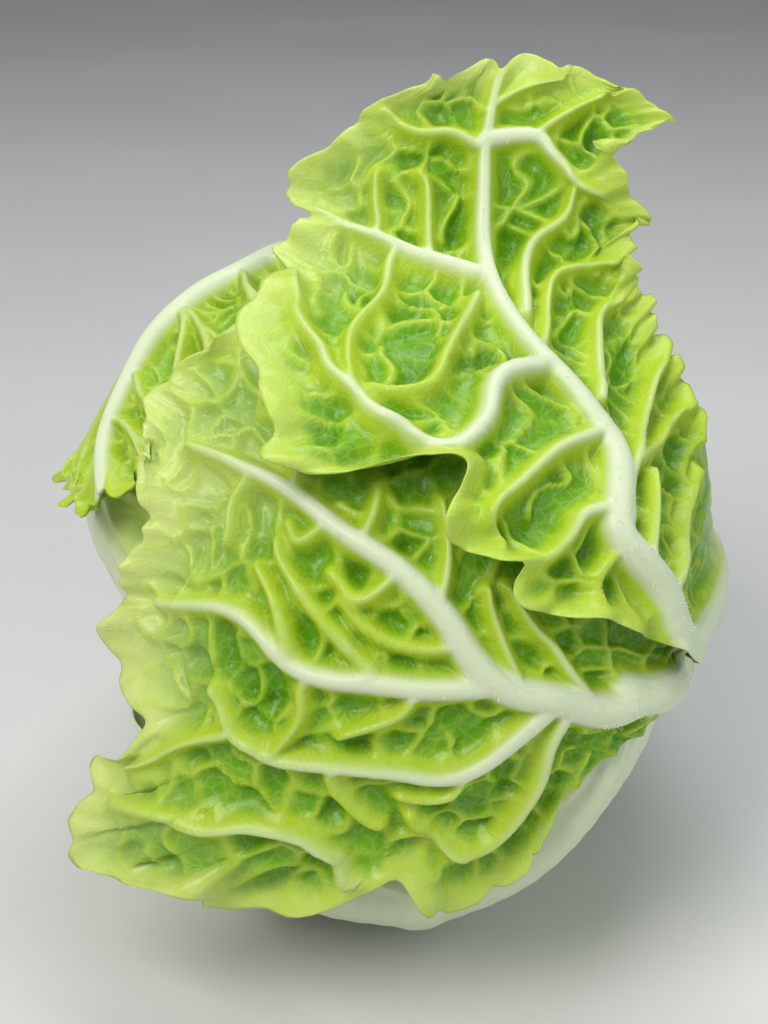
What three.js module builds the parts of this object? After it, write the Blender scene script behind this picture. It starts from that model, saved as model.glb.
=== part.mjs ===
// A head of napa cabbage, lying on its side with the leafy crown towards -Y and the cut root towards +Y.
// Units are millimetres, +Z is up and the table is z = 0.
//
// The whole head is laid out on one map of its skin. The map's centre is the crown pole, the distance
// from it is the arc length s along the head's profile, and its direction is the angle round the head's
// axis: 0 is the right side (+X) and 90 the top (+Z), as seen from the crown. A place on the head is a
// map point and a height over the skin. Leaves are put on from the inside out, and each one is draped
// over what lies under it.
import * as THREE from "three";

// Driving dimensions of the head
const HEAD_LENGTH = 272; // crown pole to the cut
const GIRTH_RADIUS = 95; // widest girth
const CROWN_DEPTH = 125; // crown pole to the widest girth, along the axis
const CROWN_POWER = 2.3; // how full the crown's dome is: 2 is an ellipse
const ROOT_RADIUS = 50; // skin radius at the cut
const TAPER_POWER = 2.2; // how late the body narrows towards the root
const AXIS_HEIGHT = 95; // axis above the table
const CROWN_Y = -130; // the crown pole's place along Y
// Hollows of the skin behind the crown: direction in degrees, spread in degrees, depth
const HOLLOWS = [
  { angle: -22, spread: 38, depth: 16 },
  { angle: 192, spread: 28, depth: 8 },
];

// Layers
const HEART_HEIGHT = -24; // the packed heart's surface, under the skin
const HEART_SLACK = 1; // extra air round the heart
const HEART_RELIEF = 2.5; // ribs of the heart's own leaves
const LEAF_GAP = 1; // air between one leaf and the next
const BLADE = 1.2; // leaf blade
const PETIOLE = 4.5; // extra thickness of the white rib at the cut
const RIB_AT_TIP = 1.3; // extra thickness of the rib at the leaf's tip
const RIDGE = 4.2; // side veins over the pockets between them
const CROSS_RIDGE = 3; // cross veins over the pockets
const PRESSED = 0.75; // how much of the relief a covering leaf flattens
const FRILL = 4; // lift of the free margins' waves
const BLADE_FROM = [0.14, 0.42]; // where along a leaf its relief begins and is full
const TABLE_STEP = BLADE + LEAF_GAP; // leaves flattened by the table lie this far apart

// Stem
const STEM_START = 238;
const STEM_OUT = 3; // how far the cut stands out past the leaf bases
const STEM_CLEARANCE = 2;

const CUT = "cut"; // stands for the arc length at the cut in the leaf layouts

const rad = THREE.MathUtils.degToRad;
const { clamp, lerp, smoothstep } = THREE.MathUtils;

// Repeatable random numbers from 0 to 1
function randomSource(seed) {
  let state = seed;
  return () => {
    state = (state * 1664525 + 1013904223) % 4294967296;
    return state / 4294967296;
  };
}

// The profile: points (t along the axis, r from it) at even steps of arc length, with the slope at each.
function makeProfile(samples) {
  const raw = [];
  for (let k = 0; k <= samples; k++) {
    const turn = (k / samples) * (Math.PI / 2);
    raw.push([
      CROWN_DEPTH * (1 - Math.cos(turn) ** (2 / CROWN_POWER)),
      GIRTH_RADIUS * Math.sin(turn) ** (2 / CROWN_POWER),
    ]);
  }
  for (let k = 1; k <= samples; k++) {
    const share = k / samples;
    raw.push([
      lerp(CROWN_DEPTH, HEAD_LENGTH, share),
      GIRTH_RADIUS - (GIRTH_RADIUS - ROOT_RADIUS) * share ** TAPER_POWER,
    ]);
  }
  const arc = [0];
  for (let k = 1; k < raw.length; k++)
    arc.push(arc[k - 1] + Math.hypot(raw[k][0] - raw[k - 1][0], raw[k][1] - raw[k - 1][1]));
  const length = arc[arc.length - 1];
  const even = [];
  for (let k = 0, at = 0; k <= samples; k++) {
    const s = (length * k) / samples;
    while (at < arc.length - 2 && arc[at + 1] < s) at++;
    const share = (s - arc[at]) / (arc[at + 1] - arc[at]);
    even.push([lerp(raw[at][0], raw[at + 1][0], share), lerp(raw[at][1], raw[at + 1][1], share)]);
  }
  return { even, length, step: length / samples };
}

const profile = makeProfile(1200);

// Axial place, radius and outward normal of the skin at arc length s
function profileAt(s) {
  const last = profile.even.length - 1;
  const x = clamp(s / profile.step, 0, last - 1e-6);
  const k = Math.floor(x);
  const [a, b] = [profile.even[k], profile.even[k + 1]];
  const [before, after] = [profile.even[Math.max(k - 4, 0)], profile.even[Math.min(k + 5, last)]];
  const slope = Math.hypot(after[0] - before[0], after[1] - before[1]);
  return {
    t: lerp(a[0], b[0], x - k),
    r: lerp(a[1], b[1], x - k),
    outward: (after[0] - before[0]) / slope,
    backward: -(after[1] - before[1]) / slope,
  };
}

// How far the skin is pressed in at arc length s in the direction (c, d)
function hollowAt(s, c, d) {
  const along = smoothstep(s, 60, 105) * (1 - smoothstep(s, 210, 310));
  return HOLLOWS.reduce((sum, { angle, spread, depth }) => {
    const nearness = c * Math.cos(rad(angle)) + d * Math.sin(rad(angle));
    const away = THREE.MathUtils.radToDeg(Math.acos(clamp(nearness, -1, 1)));
    return sum + along * depth * Math.exp(-((away / spread) ** 2));
  }, 0);
}

// The point at height h over map point (m, n), in the head's frame
function skinPoint(m, n, h) {
  const s = Math.hypot(m, n);
  const p = profileAt(s);
  const [c, d] = s > 1e-6 ? [m / s, n / s] : [1, 0];
  const over = h - hollowAt(s, c, d);
  const r = p.r + over * p.outward;
  return new THREE.Vector3(r * c, CROWN_Y + p.t + over * p.backward, AXIS_HEIGHT + r * d);
}

// The arc length at which a surface at height h over the skin has come t along the axis
function arcWhere(t, h) {
  let s = 0;
  while (s < profile.length && profileAt(s).t + h * profileAt(s).backward < t) s += 0.5;
  return s;
}

// A map point from its arc length and its angle in degrees, with the least height that the leaf keeps
// there
function at(s, degrees, least = -40) {
  const length = s === CUT ? profile.length : s;
  return [length * Math.cos(rad(degrees)), length * Math.sin(rad(degrees)), least];
}

// A leaf's layout is a list of stations from its base to its tip. Each station holds five points across
// the leaf: left margin, left blade, midrib, right blade, right margin.

// The outermost leaf: its rib bends over the rim on the right, climbs the face and splits near the top,
// and its tip stands free above the head.
const upperFaceLeaf = [
  [at(CUT, -20), at(CUT, -9), at(CUT, 2), at(CUT, 14), at(CUT, 26)],
  [at(228, -20), at(232, -8), at(235, 4), at(230, 16), at(222, 29)],
  [at(150, -7), at(154, 1), at(158, 8), at(150, 19), at(140, 32)],
  [[84, 11, 1], [87, 15, 3], [93, 20, 5], [104, 30, 7], [113, 46, 10]],
  [[56, 32, 4], [64, 38, 5], [73, 44, 6], [88, 57, 8], [107, 76, 15]],
  [[22, 47, 6], [46, 57, 4], [69, 71, 6], [84, 82, 8], [99, 102, 17]],
  [[9, 71, 4], [35, 80, 1], [63, 94, 6], [77, 104, 10], [88, 117, 21]],
  [[-32, 80, 9], [6, 103, 0], [51, 115, 7], [68, 122, 13], [82, 131, 29]],
  [[-41, 129, 9], [-4, 134, 2], [38, 141, 12], [58, 138, 23], [76, 139, 39]],
  [[-38, 154, 22], [0, 152, 18], [31, 156, 29], [54, 150, 40], [75, 147, 52]],
  [[-16, 167, 42], [8, 165, 43], [31, 165, 48], [54, 160, 55], [78, 156, 63]],
  [[12, 172, 54], [22, 172, 57], [34, 172, 61], [52, 169, 63], [70, 166, 63]],
];

// The next leaf: its rib turns over the rim at the lower right and crosses the crown to the left. Its
// lower margin hangs in folds over the leaf below, and its lowest lobes stand free at the lower left.
const lowerFaceLeaf = [
  [at(CUT, -60), at(CUT, -49), at(CUT, -38), at(CUT, -27), at(CUT, -16)],
  [at(230, -56), at(234, -44), at(236, -32), at(232, -19), at(226, -6)],
  [at(162, -34), at(166, -26), at(170, -18), at(162, -6), at(154, 7)],
  [[108, -26, 2], [111, -20, 3], [114, -13, 3], [112, 0, 0], [106, 14, 0]],
  [[69, -6, 3], [73, -2, 4], [78, 3, 5], [81, 15, 1], [83, 29, 0]],
  [[43, -18, 4], [52, -5, 4], [62, 6, 4], [69, 21, 1], [76, 38, 0]],
  [[28, -40, 4], [38, -14, 3], [49, 11, 4], [60, 29, 1], [70, 50, 0]],
  [[2, -42, 4], [18, -14, 2], [37, 15, 4], [50, 37, 0], [62, 60, 0]],
  [[-38, -42, 6], [-6, -16, 2], [27, 19, 3], [40, 45, 0], [54, 72, 0]],
  [[-70, -39, 34], [-28, -10, 2], [17, 27, 3], [33, 52, 0], [49, 78, 0]],
  [[-80, -24, 24], [-37, 2, 2], [9, 39, 3], [25, 61, 0], [41, 86, 0]],
  [[-72, -6, -2], [-44, 14, 2], [-1, 51, 3], [16, 71, 0], [32, 93, 0]],
  [[-87, 20, 3], [-54, 34, 2], [-17, 60, 2], [0, 84, 0], [12, 104, 0]],
  [[-76, 44, 2], [-58, 50, 1], [-35, 70, 2], [-26, 92, 1], [-17, 112, 2]],
  [[-72, 60, 3], [-66, 66, 2], [-55, 77, 3], [-50, 94, 3], [-44, 112, 4]],
  [[-79, 74, 4], [-78, 79, 4], [-77, 85, 4], [-71, 94, 5], [-62, 104, 6]],
];

// Lobes (above 0) and notches of the free margins: place along the leaf, spread and how far the margin
// moves as a share of its distance from the rib. The first list is the left margin and the second the
// right one.
const UPPER_SCALLOPS = [
  [
    [0.4, 0.03, 0.12],
    [0.45, 0.02, -0.08],
    [0.49, 0.02, 0.1],
    [0.535, 0.016, -0.14],
    [0.585, 0.03, 0.14],
    [0.79, 0.02, -0.1],
    [0.85, 0.03, 0.07],
  ],
  [[0.42, 0.04, 0.05], [0.62, 0.02, -0.1], [0.71, 0.03, 0.16], [0.8, 0.025, -0.28], [0.9, 0.04, 0.12]],
];
const LOWER_SCALLOPS = [
  [
    [0.42, 0.03, 0.06],
    [0.48, 0.02, -0.1],
    [0.53, 0.025, 0.06],
    [0.57, 0.015, -0.06],
    [0.64, 0.02, 0.05],
    [0.8, 0.03, 0.02],
  ],
  [[0.5, 0.03, 0.05], [0.7, 0.03, 0.05]],
];

// The leaf under the head: the head rests on its broad white rib, and its pale foot shows all along the
// lower rim.
const underLeaf = [
  [at(CUT, -118), at(CUT, -104), at(CUT, -90), at(CUT, -76), at(CUT, -62)],
  [at(232, -132, -4), at(238, -110, 0), at(242, -88, 1), at(238, -66, 0), at(232, -44, -4)],
  [at(165, -150, -2), at(172, -118, 2), at(176, -86, 2), at(170, -54, 2), at(162, -26, -2)],
  [at(112, -154, -3), at(116, -120, 3), at(118, -85, 4), at(112, -45, 2), at(106, -8, 0)],
  [at(86, -152, 0), at(86, -120, 4), at(84, -85, 5), at(82, -42, 3), at(84, 4, 1)],
  [at(70, -148, -2), at(60, -120, 0), at(54, -85, 1), at(56, -42, 0), at(66, 6, -2)],
  [at(52, -140), at(38, -120), at(30, -85), at(34, -42), at(50, 2)],
];

// The leaf along the upper left shoulder: its white rib is the head's edge there.
const shoulderLeaf = [
  [at(CUT, 80), at(CUT, 90), at(CUT, 100), at(CUT, 110), at(CUT, 120)],
  [at(240, 76), at(242, 88), at(244, 102), at(242, 114), at(238, 126)],
  [at(190, 80), at(194, 92), at(200, 108, 2), at(204, 122), at(206, 138)],
  [at(132, 98), at(148, 106, 5), at(165, 115, 10), at(180, 130, 0), at(192, 146)],
  [at(120, 112, 4), at(136, 117, 9), at(154, 123, 14), at(166, 138, 3), at(176, 152)],
  [at(112, 124, 5), at(126, 128, 11), at(142, 132, 15), at(150, 146, 5), at(158, 158)],
  [at(108, 134, 4), at(116, 138, 8), at(126, 142, 9), at(129, 150, 2), at(132, 157, -2)],
  [at(100, 141, 2), at(103, 145, 3), at(106, 149, 3), at(108, 152, 0), at(110, 156, -4)],
];

// The leaf on the left: its rib curls up the left rim and ends under the leaves of the face.
const leftLeaf = [
  [at(CUT, 152), at(CUT, 162), at(CUT, 172), at(CUT, 182), at(CUT, 192)],
  [at(238, 148), at(240, 160), at(242, 172), at(238, 184), at(232, 196)],
  [at(192, 142), at(194, 155), at(190, 168, -2), at(180, 182), at(170, 196)],
  [at(160, 136), at(158, 149), at(152, 162, 2), at(134, 174, -6), at(116, 188)],
  [at(144, 130), at(142, 142), at(132, 154, 4), at(112, 164, -6), at(92, 178)],
  [at(142, 124), at(138, 134), at(131, 146, 4), at(108, 152, -7), at(84, 162)],
  [at(138, 119), at(132, 127), at(126, 137, 2), at(108, 142, -6), at(88, 148)],
  [at(132, 116), at(128, 121), at(122, 127), at(112, 132), at(100, 137)],
];

// Arc lengths of a wrapper leaf's stations, its half-width there, and how far ahead of the rib its
// margins reach
const WRAPPER_STATIONS = [
  { s: CUT, half: 20, ahead: 0 },
  { s: 275, half: 34, ahead: 10 },
  { s: 225, half: 52, ahead: 20 },
  { s: 175, half: 68, ahead: 28 },
  { s: 135, half: 74, ahead: 30 },
  { s: 105, half: 66, ahead: 24 },
];
const WRAPPER_TIP_HALF = 16;

// A wrapper leaf whose rib runs from `root` degrees at the cut to `crown` degrees at its tip, `tip` mm
// from the pole. `least` is the least height of its rib over the crown's shoulder.
function wrapperLeaf({ root, crown, tip, least = -40 }) {
  const stations = [...WRAPPER_STATIONS, { s: tip, half: WRAPPER_TIP_HALF, ahead: 0 }];
  return stations.map(({ s, half, ahead }, k) => {
    const middle = lerp(root, crown, k / (stations.length - 1));
    const length = s === CUT ? profile.length : Math.max(s, tip);
    const spread = THREE.MathUtils.radToDeg(half / profileAt(length).r);
    return [-1, -0.5, 0, 0.5, 1].map((side) =>
      at(
        length - ahead * side * side * (length > tip + ahead ? 1 : 0.3),
        middle + side * spread,
        k > 2 ? least - 3 * Math.abs(side) : -40,
      ),
    );
  });
}

// From the innermost to the outermost
const LEAVES = [
  { name: "leaf_top_left", layout: wrapperLeaf({ root: 130, crown: 122, tip: 62 }) },
  { name: "leaf_top_right", layout: wrapperLeaf({ root: 60, crown: 70, tip: 66 }) },
  { name: "leaf_lower_left", layout: wrapperLeaf({ root: 218, crown: 206, tip: 64 }) },
  { name: "leaf_lower_right", layout: wrapperLeaf({ root: -48, crown: -40, tip: 66 }) },
  { name: "leaf_right", layout: wrapperLeaf({ root: 30, crown: 38, tip: 84, least: 5 }) },
  { name: "leaf_left", layout: leftLeaf, grid: "shaped" },
  { name: "leaf_shoulder", layout: shoulderLeaf, grid: "shaped" },
  { name: "leaf_under", layout: underLeaf, grid: "shaped", bladeFrom: [0.7, 0.86] },
  { name: "leaf_lower_face", layout: lowerFaceLeaf, grid: "fine", scallops: LOWER_SCALLOPS },
  { name: "leaf_upper_face", layout: upperFaceLeaf, grid: "fine", scallops: UPPER_SCALLOPS },
];
const GRIDS = {
  fine: { along: 40, across: 24, pitch: 3, waves: 9 },
  shaped: { along: 18, across: 14, pitch: 2, waves: 5 },
  wrapper: { along: 14, across: 12, pitch: 2, waves: 3 },
};
const BASE_ROWS = 1 / 6; // share of a grid's rows that lie on the leaf's base
const BASE_END = 0.24; // where that base ends
const ON_TABLE = ["leaf_under", "leaf_lower_left", "leaf_lower_right"]; // from the outermost in

// Catmull-Rom through evenly spaced rows of numbers, at place x counted in rows
function throughRows(rows, x) {
  const last = rows.length - 1;
  const k = clamp(Math.floor(x), 0, last - 1);
  const f = x - k;
  const [b, c] = [rows[k], rows[k + 1]];
  const a = k > 0 ? rows[k - 1] : b.map((v, i) => 2 * v - c[i]);
  const d = k + 2 <= last ? rows[k + 2] : c.map((v, i) => 2 * v - b[i]);
  return b.map((_, i) => {
    const turn = 2 * a[i] - 5 * b[i] + 4 * c[i] - d[i];
    const twist = -a[i] + 3 * b[i] - 3 * c[i] + d[i];
    return 0.5 * (2 * b[i] + (c[i] - a[i]) * f + turn * f * f + twist * f ** 3);
  });
}

// A leaf's grid of vertices on the map. along runs base to tip and side from -1 at the left margin to 1.
function layGrid(leaf, seed) {
  const { along, across, waves } = GRIDS[leaf.grid ?? "wrapper"];
  const baseRows = Math.round(along * BASE_ROWS);
  const placeOf = (i) =>
    i < baseRows
      ? (BASE_END * i) / baseRows
      : lerp(BASE_END, 1, (i - baseRows) / (along - baseRows));
  const spans = leaf.layout.length - 1;
  const random = randomSource(seed);
  const phase = random() * 6;
  const grid = [];
  for (let i = 0; i <= along; i++) {
    const u = placeOf(i);
    const wave = (2 * Math.PI * waves * (u - BASE_END)) / (1 - BASE_END);
    const rails = [0, 1, 2, 3, 4].map((rail) =>
      throughRows(leaf.layout.map((station) => station[rail]), spans * u),
    );
    const row = [];
    for (let j = 0; j <= across; j++) {
      const side = (2 * j) / across - 1;
      const [m, n, least] = throughRows(rails, 2 + 2 * side);
      const free = Math.abs(side) ** 3 * smoothstep(u, 0.2, 0.4);
      const lobes = (leaf.scallops?.[side < 0 ? 0 : 1] ?? []).reduce(
        (sum, [place, spread, amount]) => sum + amount * Math.exp(-(((u - place) / spread) ** 2)),
        0,
      );
      const reach = 1 + free * (0.04 * Math.sin(wave + phase + 2 * side) + lobes);
      row.push({
        m: rails[2][0] + (m - rails[2][0]) * reach,
        n: rails[2][1] + (n - rails[2][1]) * reach,
        least,
        along: u,
        wave: wave + 3 * side + phase,
        blade: smoothstep(u, ...(leaf.bladeFrom ?? BLADE_FROM)),
        side,
        free,
        jitter: random(),
      });
    }
    grid.push(row);
  }
  return grid;
}

// A square raster over the map that holds one number a cell
class MapRaster {
  constructor(fill) {
    this.cell = 3;
    this.half = Math.ceil((profile.length + 12) / this.cell);
    this.width = 2 * this.half + 1;
    this.values = new Float64Array(this.width ** 2).fill(fill);
  }

  index(m, n) {
    const i = clamp(Math.round(m / this.cell) + this.half, 0, this.width - 1);
    const j = clamp(Math.round(n / this.cell) + this.half, 0, this.width - 1);
    return j * this.width + i;
  }

  // Visits points all over a grid's cells, with the grid values there
  static overGrid(grid, visit) {
    const parts = 8;
    for (let i = 0; i + 1 < grid.length; i++)
      for (let j = 0; j + 1 < grid[0].length; j++) {
        const [a, b, c, d] = [grid[i][j], grid[i + 1][j], grid[i][j + 1], grid[i + 1][j + 1]];
        for (let p = 0; p <= parts; p++)
          for (let q = 0; q <= parts; q++) {
            const mix = (key) =>
              lerp(lerp(a[key], b[key], p / parts), lerp(c[key], d[key], p / parts), q / parts);
            visit(mix, i, j);
          }
      }
  }

  raise(grid, key) {
    MapRaster.overGrid(grid, (mix) => {
      const k = this.index(mix("m"), mix("n"));
      this.values[k] = Math.max(this.values[k], mix(key));
    });
  }

  blurred(radius) {
    const out = new MapRaster(0);
    const passes = [1, this.width];
    let from = this.values;
    for (const stride of passes) {
      const to = new Float64Array(from.length);
      for (let k = 0; k < from.length; k++) {
        let sum = 0;
        for (let d = -radius; d <= radius; d++) sum += from[clamp(k + d * stride, 0, from.length - 1)];
        to[k] = sum / (2 * radius + 1);
      }
      from = to;
    }
    out.values = from;
    return out;
  }
}

// How much of each vertex is covered by the leaves outside it, from 0 to 1
function findCover(grids) {
  const cover = new MapRaster(0);
  for (const grid of [...grids].reverse()) {
    const soft = cover.blurred(3);
    for (const vertex of grid.flat()) {
      vertex.cover = soft.values[soft.index(vertex.m, vertex.n)];
      vertex.present = 1;
    }
    cover.raise(grid, "present");
  }
}

// Heights of a grid that hangs like a skin over what the raster holds. A leaf's least heights are those
// of its outer face on the ridges, so its inner face may sink below them by the blade and the relief.
function drape(grid, top) {
  for (const vertex of grid.flat())
    vertex.floor = vertex.least - BLADE - 0.8 * RIDGE * bladeShare(vertex) - 0.5 * FRILL * vertex.free;
  MapRaster.overGrid(grid, (mix, i, j) => {
    const under = top.values[top.index(mix("m"), mix("n"))] + LEAF_GAP;
    for (const [di, dj] of [[0, 0], [1, 0], [0, 1], [1, 1]]) {
      const vertex = grid[i + di][j + dj];
      vertex.floor = Math.max(vertex.floor, under);
    }
  });
  for (const vertex of grid.flat()) vertex.inner = vertex.floor;
  const rows = grid.length;
  const columns = grid[0].length;
  for (let pass = 0; pass < 12; pass++) {
    const next = grid.map((row, i) =>
      row.map((vertex, j) => {
        const ring = [
          grid[Math.max(i - 1, 0)][j],
          grid[Math.min(i + 1, rows - 1)][j],
          grid[i][Math.max(j - 1, 0)],
          grid[i][Math.min(j + 1, columns - 1)],
        ];
        const mean = ring.reduce((sum, v) => sum + v.inner, 0) / 4;
        return Math.max(vertex.floor, mean);
      }),
    );
    grid.forEach((row, i) => row.forEach((vertex, j) => (vertex.inner = next[i][j])));
  }
}

// How much of the relief shows: none at the base of the leaf and little under other leaves
function bladeShare(vertex) {
  return vertex.blade * (1 - PRESSED * vertex.cover);
}

// Raised veins, pockets between them, frilled margins and the thick white rib
function addRelief(grid, pitch) {
  const rows = grid.length;
  const middle = (grid[0].length - 1) / 2;
  grid.forEach((row, i) =>
    row.forEach((vertex, j) => {
      const out = Math.abs(j - middle);
      const onSideVein = i % pitch === 0;
      const brick = Math.floor(i / pitch) % 2 ? 1 : 0;
      const onCrossVein = (out + brick) % pitch === 0;
      const blade = bladeShare(vertex);
      const ridge = out === 0 ? RIDGE : onSideVein ? RIDGE : onCrossVein ? CROSS_RIDGE : 0;
      const frill = FRILL * vertex.free * (0.5 + 0.5 * Math.sin(vertex.wave));
      vertex.raised = blade * (ridge * (0.75 + 0.25 * vertex.jitter) + frill);
      vertex.inner += vertex.raised;
      const ribWidth = lerp(0.95, 0.07, smoothstep(vertex.along, 0, 0.55));
      const rib = Math.exp(-((vertex.side / ribWidth) ** 2));
      const ribHeight = lerp(PETIOLE, RIB_AT_TIP, Math.min(1, (1.25 * i) / (rows - 1)));
      vertex.outer = vertex.inner + BLADE + ribHeight * rib;
    }),
  );
}

// A leaf's outward direction at each vertex of its grid of points
function outwardOf(points) {
  const rows = points.length;
  const columns = points[0].length;
  return points.map((row, i) =>
    row.map((_, j) => {
      const along = points[Math.min(i + 1, rows - 1)][j].clone().sub(points[Math.max(i - 1, 0)][j]);
      const across = row[Math.min(j + 1, columns - 1)].clone().sub(row[Math.max(j - 1, 0)]);
      return across.cross(along).normalize();
    }),
  );
}

// Closes a leaf's two faces and its edge into one solid. Both faces are split into triangles alike. The
// relief stands on the outer face and the inner face lies the leaf's thickness below it: along the skin's
// normal, or along the leaf's own where it is free.
function leafGeometry(grid, tableHeight) {
  const rows = grid.length;
  const columns = grid[0].length;
  const freedom = (vertex) => smoothstep(vertex.least, 5, 15) * (1 - vertex.cover);
  const even = grid.map((row) => row.map((v) => skinPoint(v.m, v.n, v.outer - v.raised)));
  const evenOut = outwardOf(even);
  const outside = grid.map((row, i) =>
    row.map((vertex, j) => {
      const own = even[i][j].clone().addScaledVector(evenOut[i][j], vertex.raised);
      return skinPoint(vertex.m, vertex.n, vertex.outer).lerp(own, freedom(vertex));
    }),
  );
  const out = outwardOf(outside);
  const inside = outside.map((row, i) =>
    row.map((p, j) => {
      const vertex = grid[i][j];
      const straight = skinPoint(vertex.m, vertex.n, vertex.inner);
      const own = p.clone().addScaledVector(out[i][j], vertex.inner - vertex.outer);
      return straight.lerp(own, smoothstep(vertex.least, 5, 15));
    }),
  );
  const positions = [];
  for (const [face, floor] of [[outside, tableHeight], [inside, tableHeight + BLADE]])
    for (const p of face.flat())
      positions.push(p.x, Math.min(p.y, CROWN_Y + HEAD_LENGTH), Math.max(p.z, floor));
  const outer = (i, j) => i * columns + j;
  const inner = (i, j) => rows * columns + i * columns + j;
  const index = [];
  const quad = (a, b, c, d) => index.push(a, c, b, a, d, c);
  for (let i = 0; i + 1 < rows; i++)
    for (let j = 0; j + 1 < columns; j++) {
      quad(outer(i, j), outer(i + 1, j), outer(i + 1, j + 1), outer(i, j + 1));
      index.push(inner(i, j), inner(i + 1, j), inner(i + 1, j + 1));
      index.push(inner(i, j), inner(i + 1, j + 1), inner(i, j + 1));
    }
  for (let i = 0; i + 1 < rows; i++) {
    quad(outer(i, 0), inner(i, 0), inner(i + 1, 0), outer(i + 1, 0));
    quad(outer(i, columns - 1), outer(i + 1, columns - 1), inner(i + 1, columns - 1), inner(i, columns - 1));
  }
  for (let j = 0; j + 1 < columns; j++) {
    quad(outer(0, j), outer(0, j + 1), inner(0, j + 1), inner(0, j));
    quad(outer(rows - 1, j), inner(rows - 1, j), inner(rows - 1, j + 1), outer(rows - 1, j + 1));
  }
  return indexed(positions, index);
}

function indexed(positions, index) {
  const geometry = new THREE.BufferGeometry();
  geometry.setAttribute("position", new THREE.Float32BufferAttribute(positions, 3));
  geometry.setIndex(index);
  geometry.computeVertexNormals();
  return geometry;
}

// The packed heart: one solid with the broad ribs of its own folded leaves, closed flat where the stem
// begins
function heartGeometry() {
  const around = 28;
  const stations = 14;
  const end = arcWhere(STEM_START, HEART_HEIGHT);
  const positions = [...skinPoint(0, 0, HEART_HEIGHT).toArray()];
  for (let k = 1; k <= stations; k++)
    for (let a = 0; a < around; a++) {
      const s = (end * k) / stations;
      const turn = (a / around) * 360;
      const [m, n] = at(s, turn);
      const rib = Math.cos(rad(5 * turn + 0.5 * s)) - 1;
      const sunk = k === stations ? 2 : 0;
      const p = skinPoint(m, n, HEART_HEIGHT - sunk + 0.5 * HEART_RELIEF * rib * smoothstep(s, 0, 60));
      const y = k === stations ? CROWN_Y + STEM_START : p.y;
      positions.push(p.x, y, p.z);
    }
  const last = positions.length / 3;
  positions.push(0, CROWN_Y + STEM_START, AXIS_HEIGHT);
  const vertex = (k, a) => 1 + (k - 1) * around + (a % around);
  const index = [];
  for (let a = 0; a < around; a++) {
    index.push(0, vertex(1, a), vertex(1, a + 1));
    for (let k = 1; k < stations; k++) {
      index.push(vertex(k, a), vertex(k + 1, a + 1), vertex(k, a + 1));
      index.push(vertex(k, a), vertex(k + 1, a), vertex(k + 1, a + 1));
    }
    index.push(last, vertex(stations, a + 1), vertex(stations, a));
  }
  return indexed(positions, index);
}

// The stem: a short tapered stub from the heart to the cut, with a slightly domed end
function stemGeometry() {
  const under = HEART_HEIGHT - STEM_CLEARANCE;
  const radiusAt = (t) => {
    const p = profileAt(arcWhere(t, under));
    return p.r + under * p.outward;
  };
  const start = STEM_START + STEM_CLEARANCE;
  const end = HEAD_LENGTH + STEM_OUT;
  const outline = [
    new THREE.Vector2(0, start),
    new THREE.Vector2(radiusAt(start), start),
    new THREE.Vector2(radiusAt(lerp(start, end, 0.35)), lerp(start, end, 0.35)),
    new THREE.Vector2(radiusAt(end) - 1, end - 5),
    new THREE.Vector2(radiusAt(end) - 3, end - 1),
    new THREE.Vector2(0, end),
  ];
  return new THREE.LatheGeometry(outline, 28);
}

const LEAF_GREEN = new THREE.Color(0.42, 0.62, 0.16);
const PALE_GREEN = new THREE.Color(0.72, 0.82, 0.42);
const STEM_WHITE = new THREE.Color(0.88, 0.87, 0.74);

function buildHead() {
  const head = new THREE.Group();
  head.name = "napa_cabbage";
  const grids = LEAVES.map((leaf, k) => layGrid(leaf, 11 + 7 * k));
  findCover(grids);
  const top = new MapRaster(HEART_HEIGHT + HEART_SLACK);
  grids.forEach((grid, k) => {
    drape(grid, top);
    addRelief(grid, GRIDS[LEAVES[k].grid ?? "wrapper"].pitch);
    top.raise(grid, "outer");
  });
  LEAVES.forEach((leaf, k) => {
    const level = Math.max(ON_TABLE.indexOf(leaf.name), 0);
    const colour = leaf.grid === "fine" ? LEAF_GREEN : LEAF_GREEN.clone().lerp(PALE_GREEN, 0.3);
    const material = new THREE.MeshStandardMaterial({
      color: colour,
      roughness: 0.42,
      metalness: 0,
      side: THREE.DoubleSide,
    });
    const mesh = new THREE.Mesh(leafGeometry(grids[k], level * TABLE_STEP), material);
    mesh.name = leaf.name;
    head.add(mesh);
  });
  const heart = new THREE.Mesh(
    heartGeometry(),
    new THREE.MeshStandardMaterial({ color: PALE_GREEN, roughness: 0.5, metalness: 0 }),
  );
  heart.name = "heart";
  head.add(heart);
  const stem = new THREE.Mesh(
    stemGeometry(),
    new THREE.MeshStandardMaterial({ color: STEM_WHITE, roughness: 0.6, metalness: 0 }),
  );
  stem.name = "stem";
  stem.position.set(0, CROWN_Y, AXIS_HEIGHT);
  head.add(stem);
  centreOnTable(head);
  return head;
}

// Moves the solids so that the head's box stands centred over the origin
function centreOnTable(head) {
  head.updateMatrixWorld(true);
  const box = new THREE.Box3().setFromObject(head, true);
  const centre = box.getCenter(new THREE.Vector3());
  for (const mesh of head.children)
    mesh.position.add(new THREE.Vector3(-centre.x, -centre.y, -box.min.z));
}

export default buildHead();
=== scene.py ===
"""A head of napa cabbage lying on its side, seen on its leafy crown.

Ten leaves are laid over one another on a map of the head's skin. Each one is a two-parameter surface, u along the
rib and v across it, with its veins raised and the tissue between them sunken. Lengths are in millimetres until a
mesh is made.
"""

import logging
import math
from dataclasses import dataclass, field
from enum import Enum
from typing import Iterator

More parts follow.
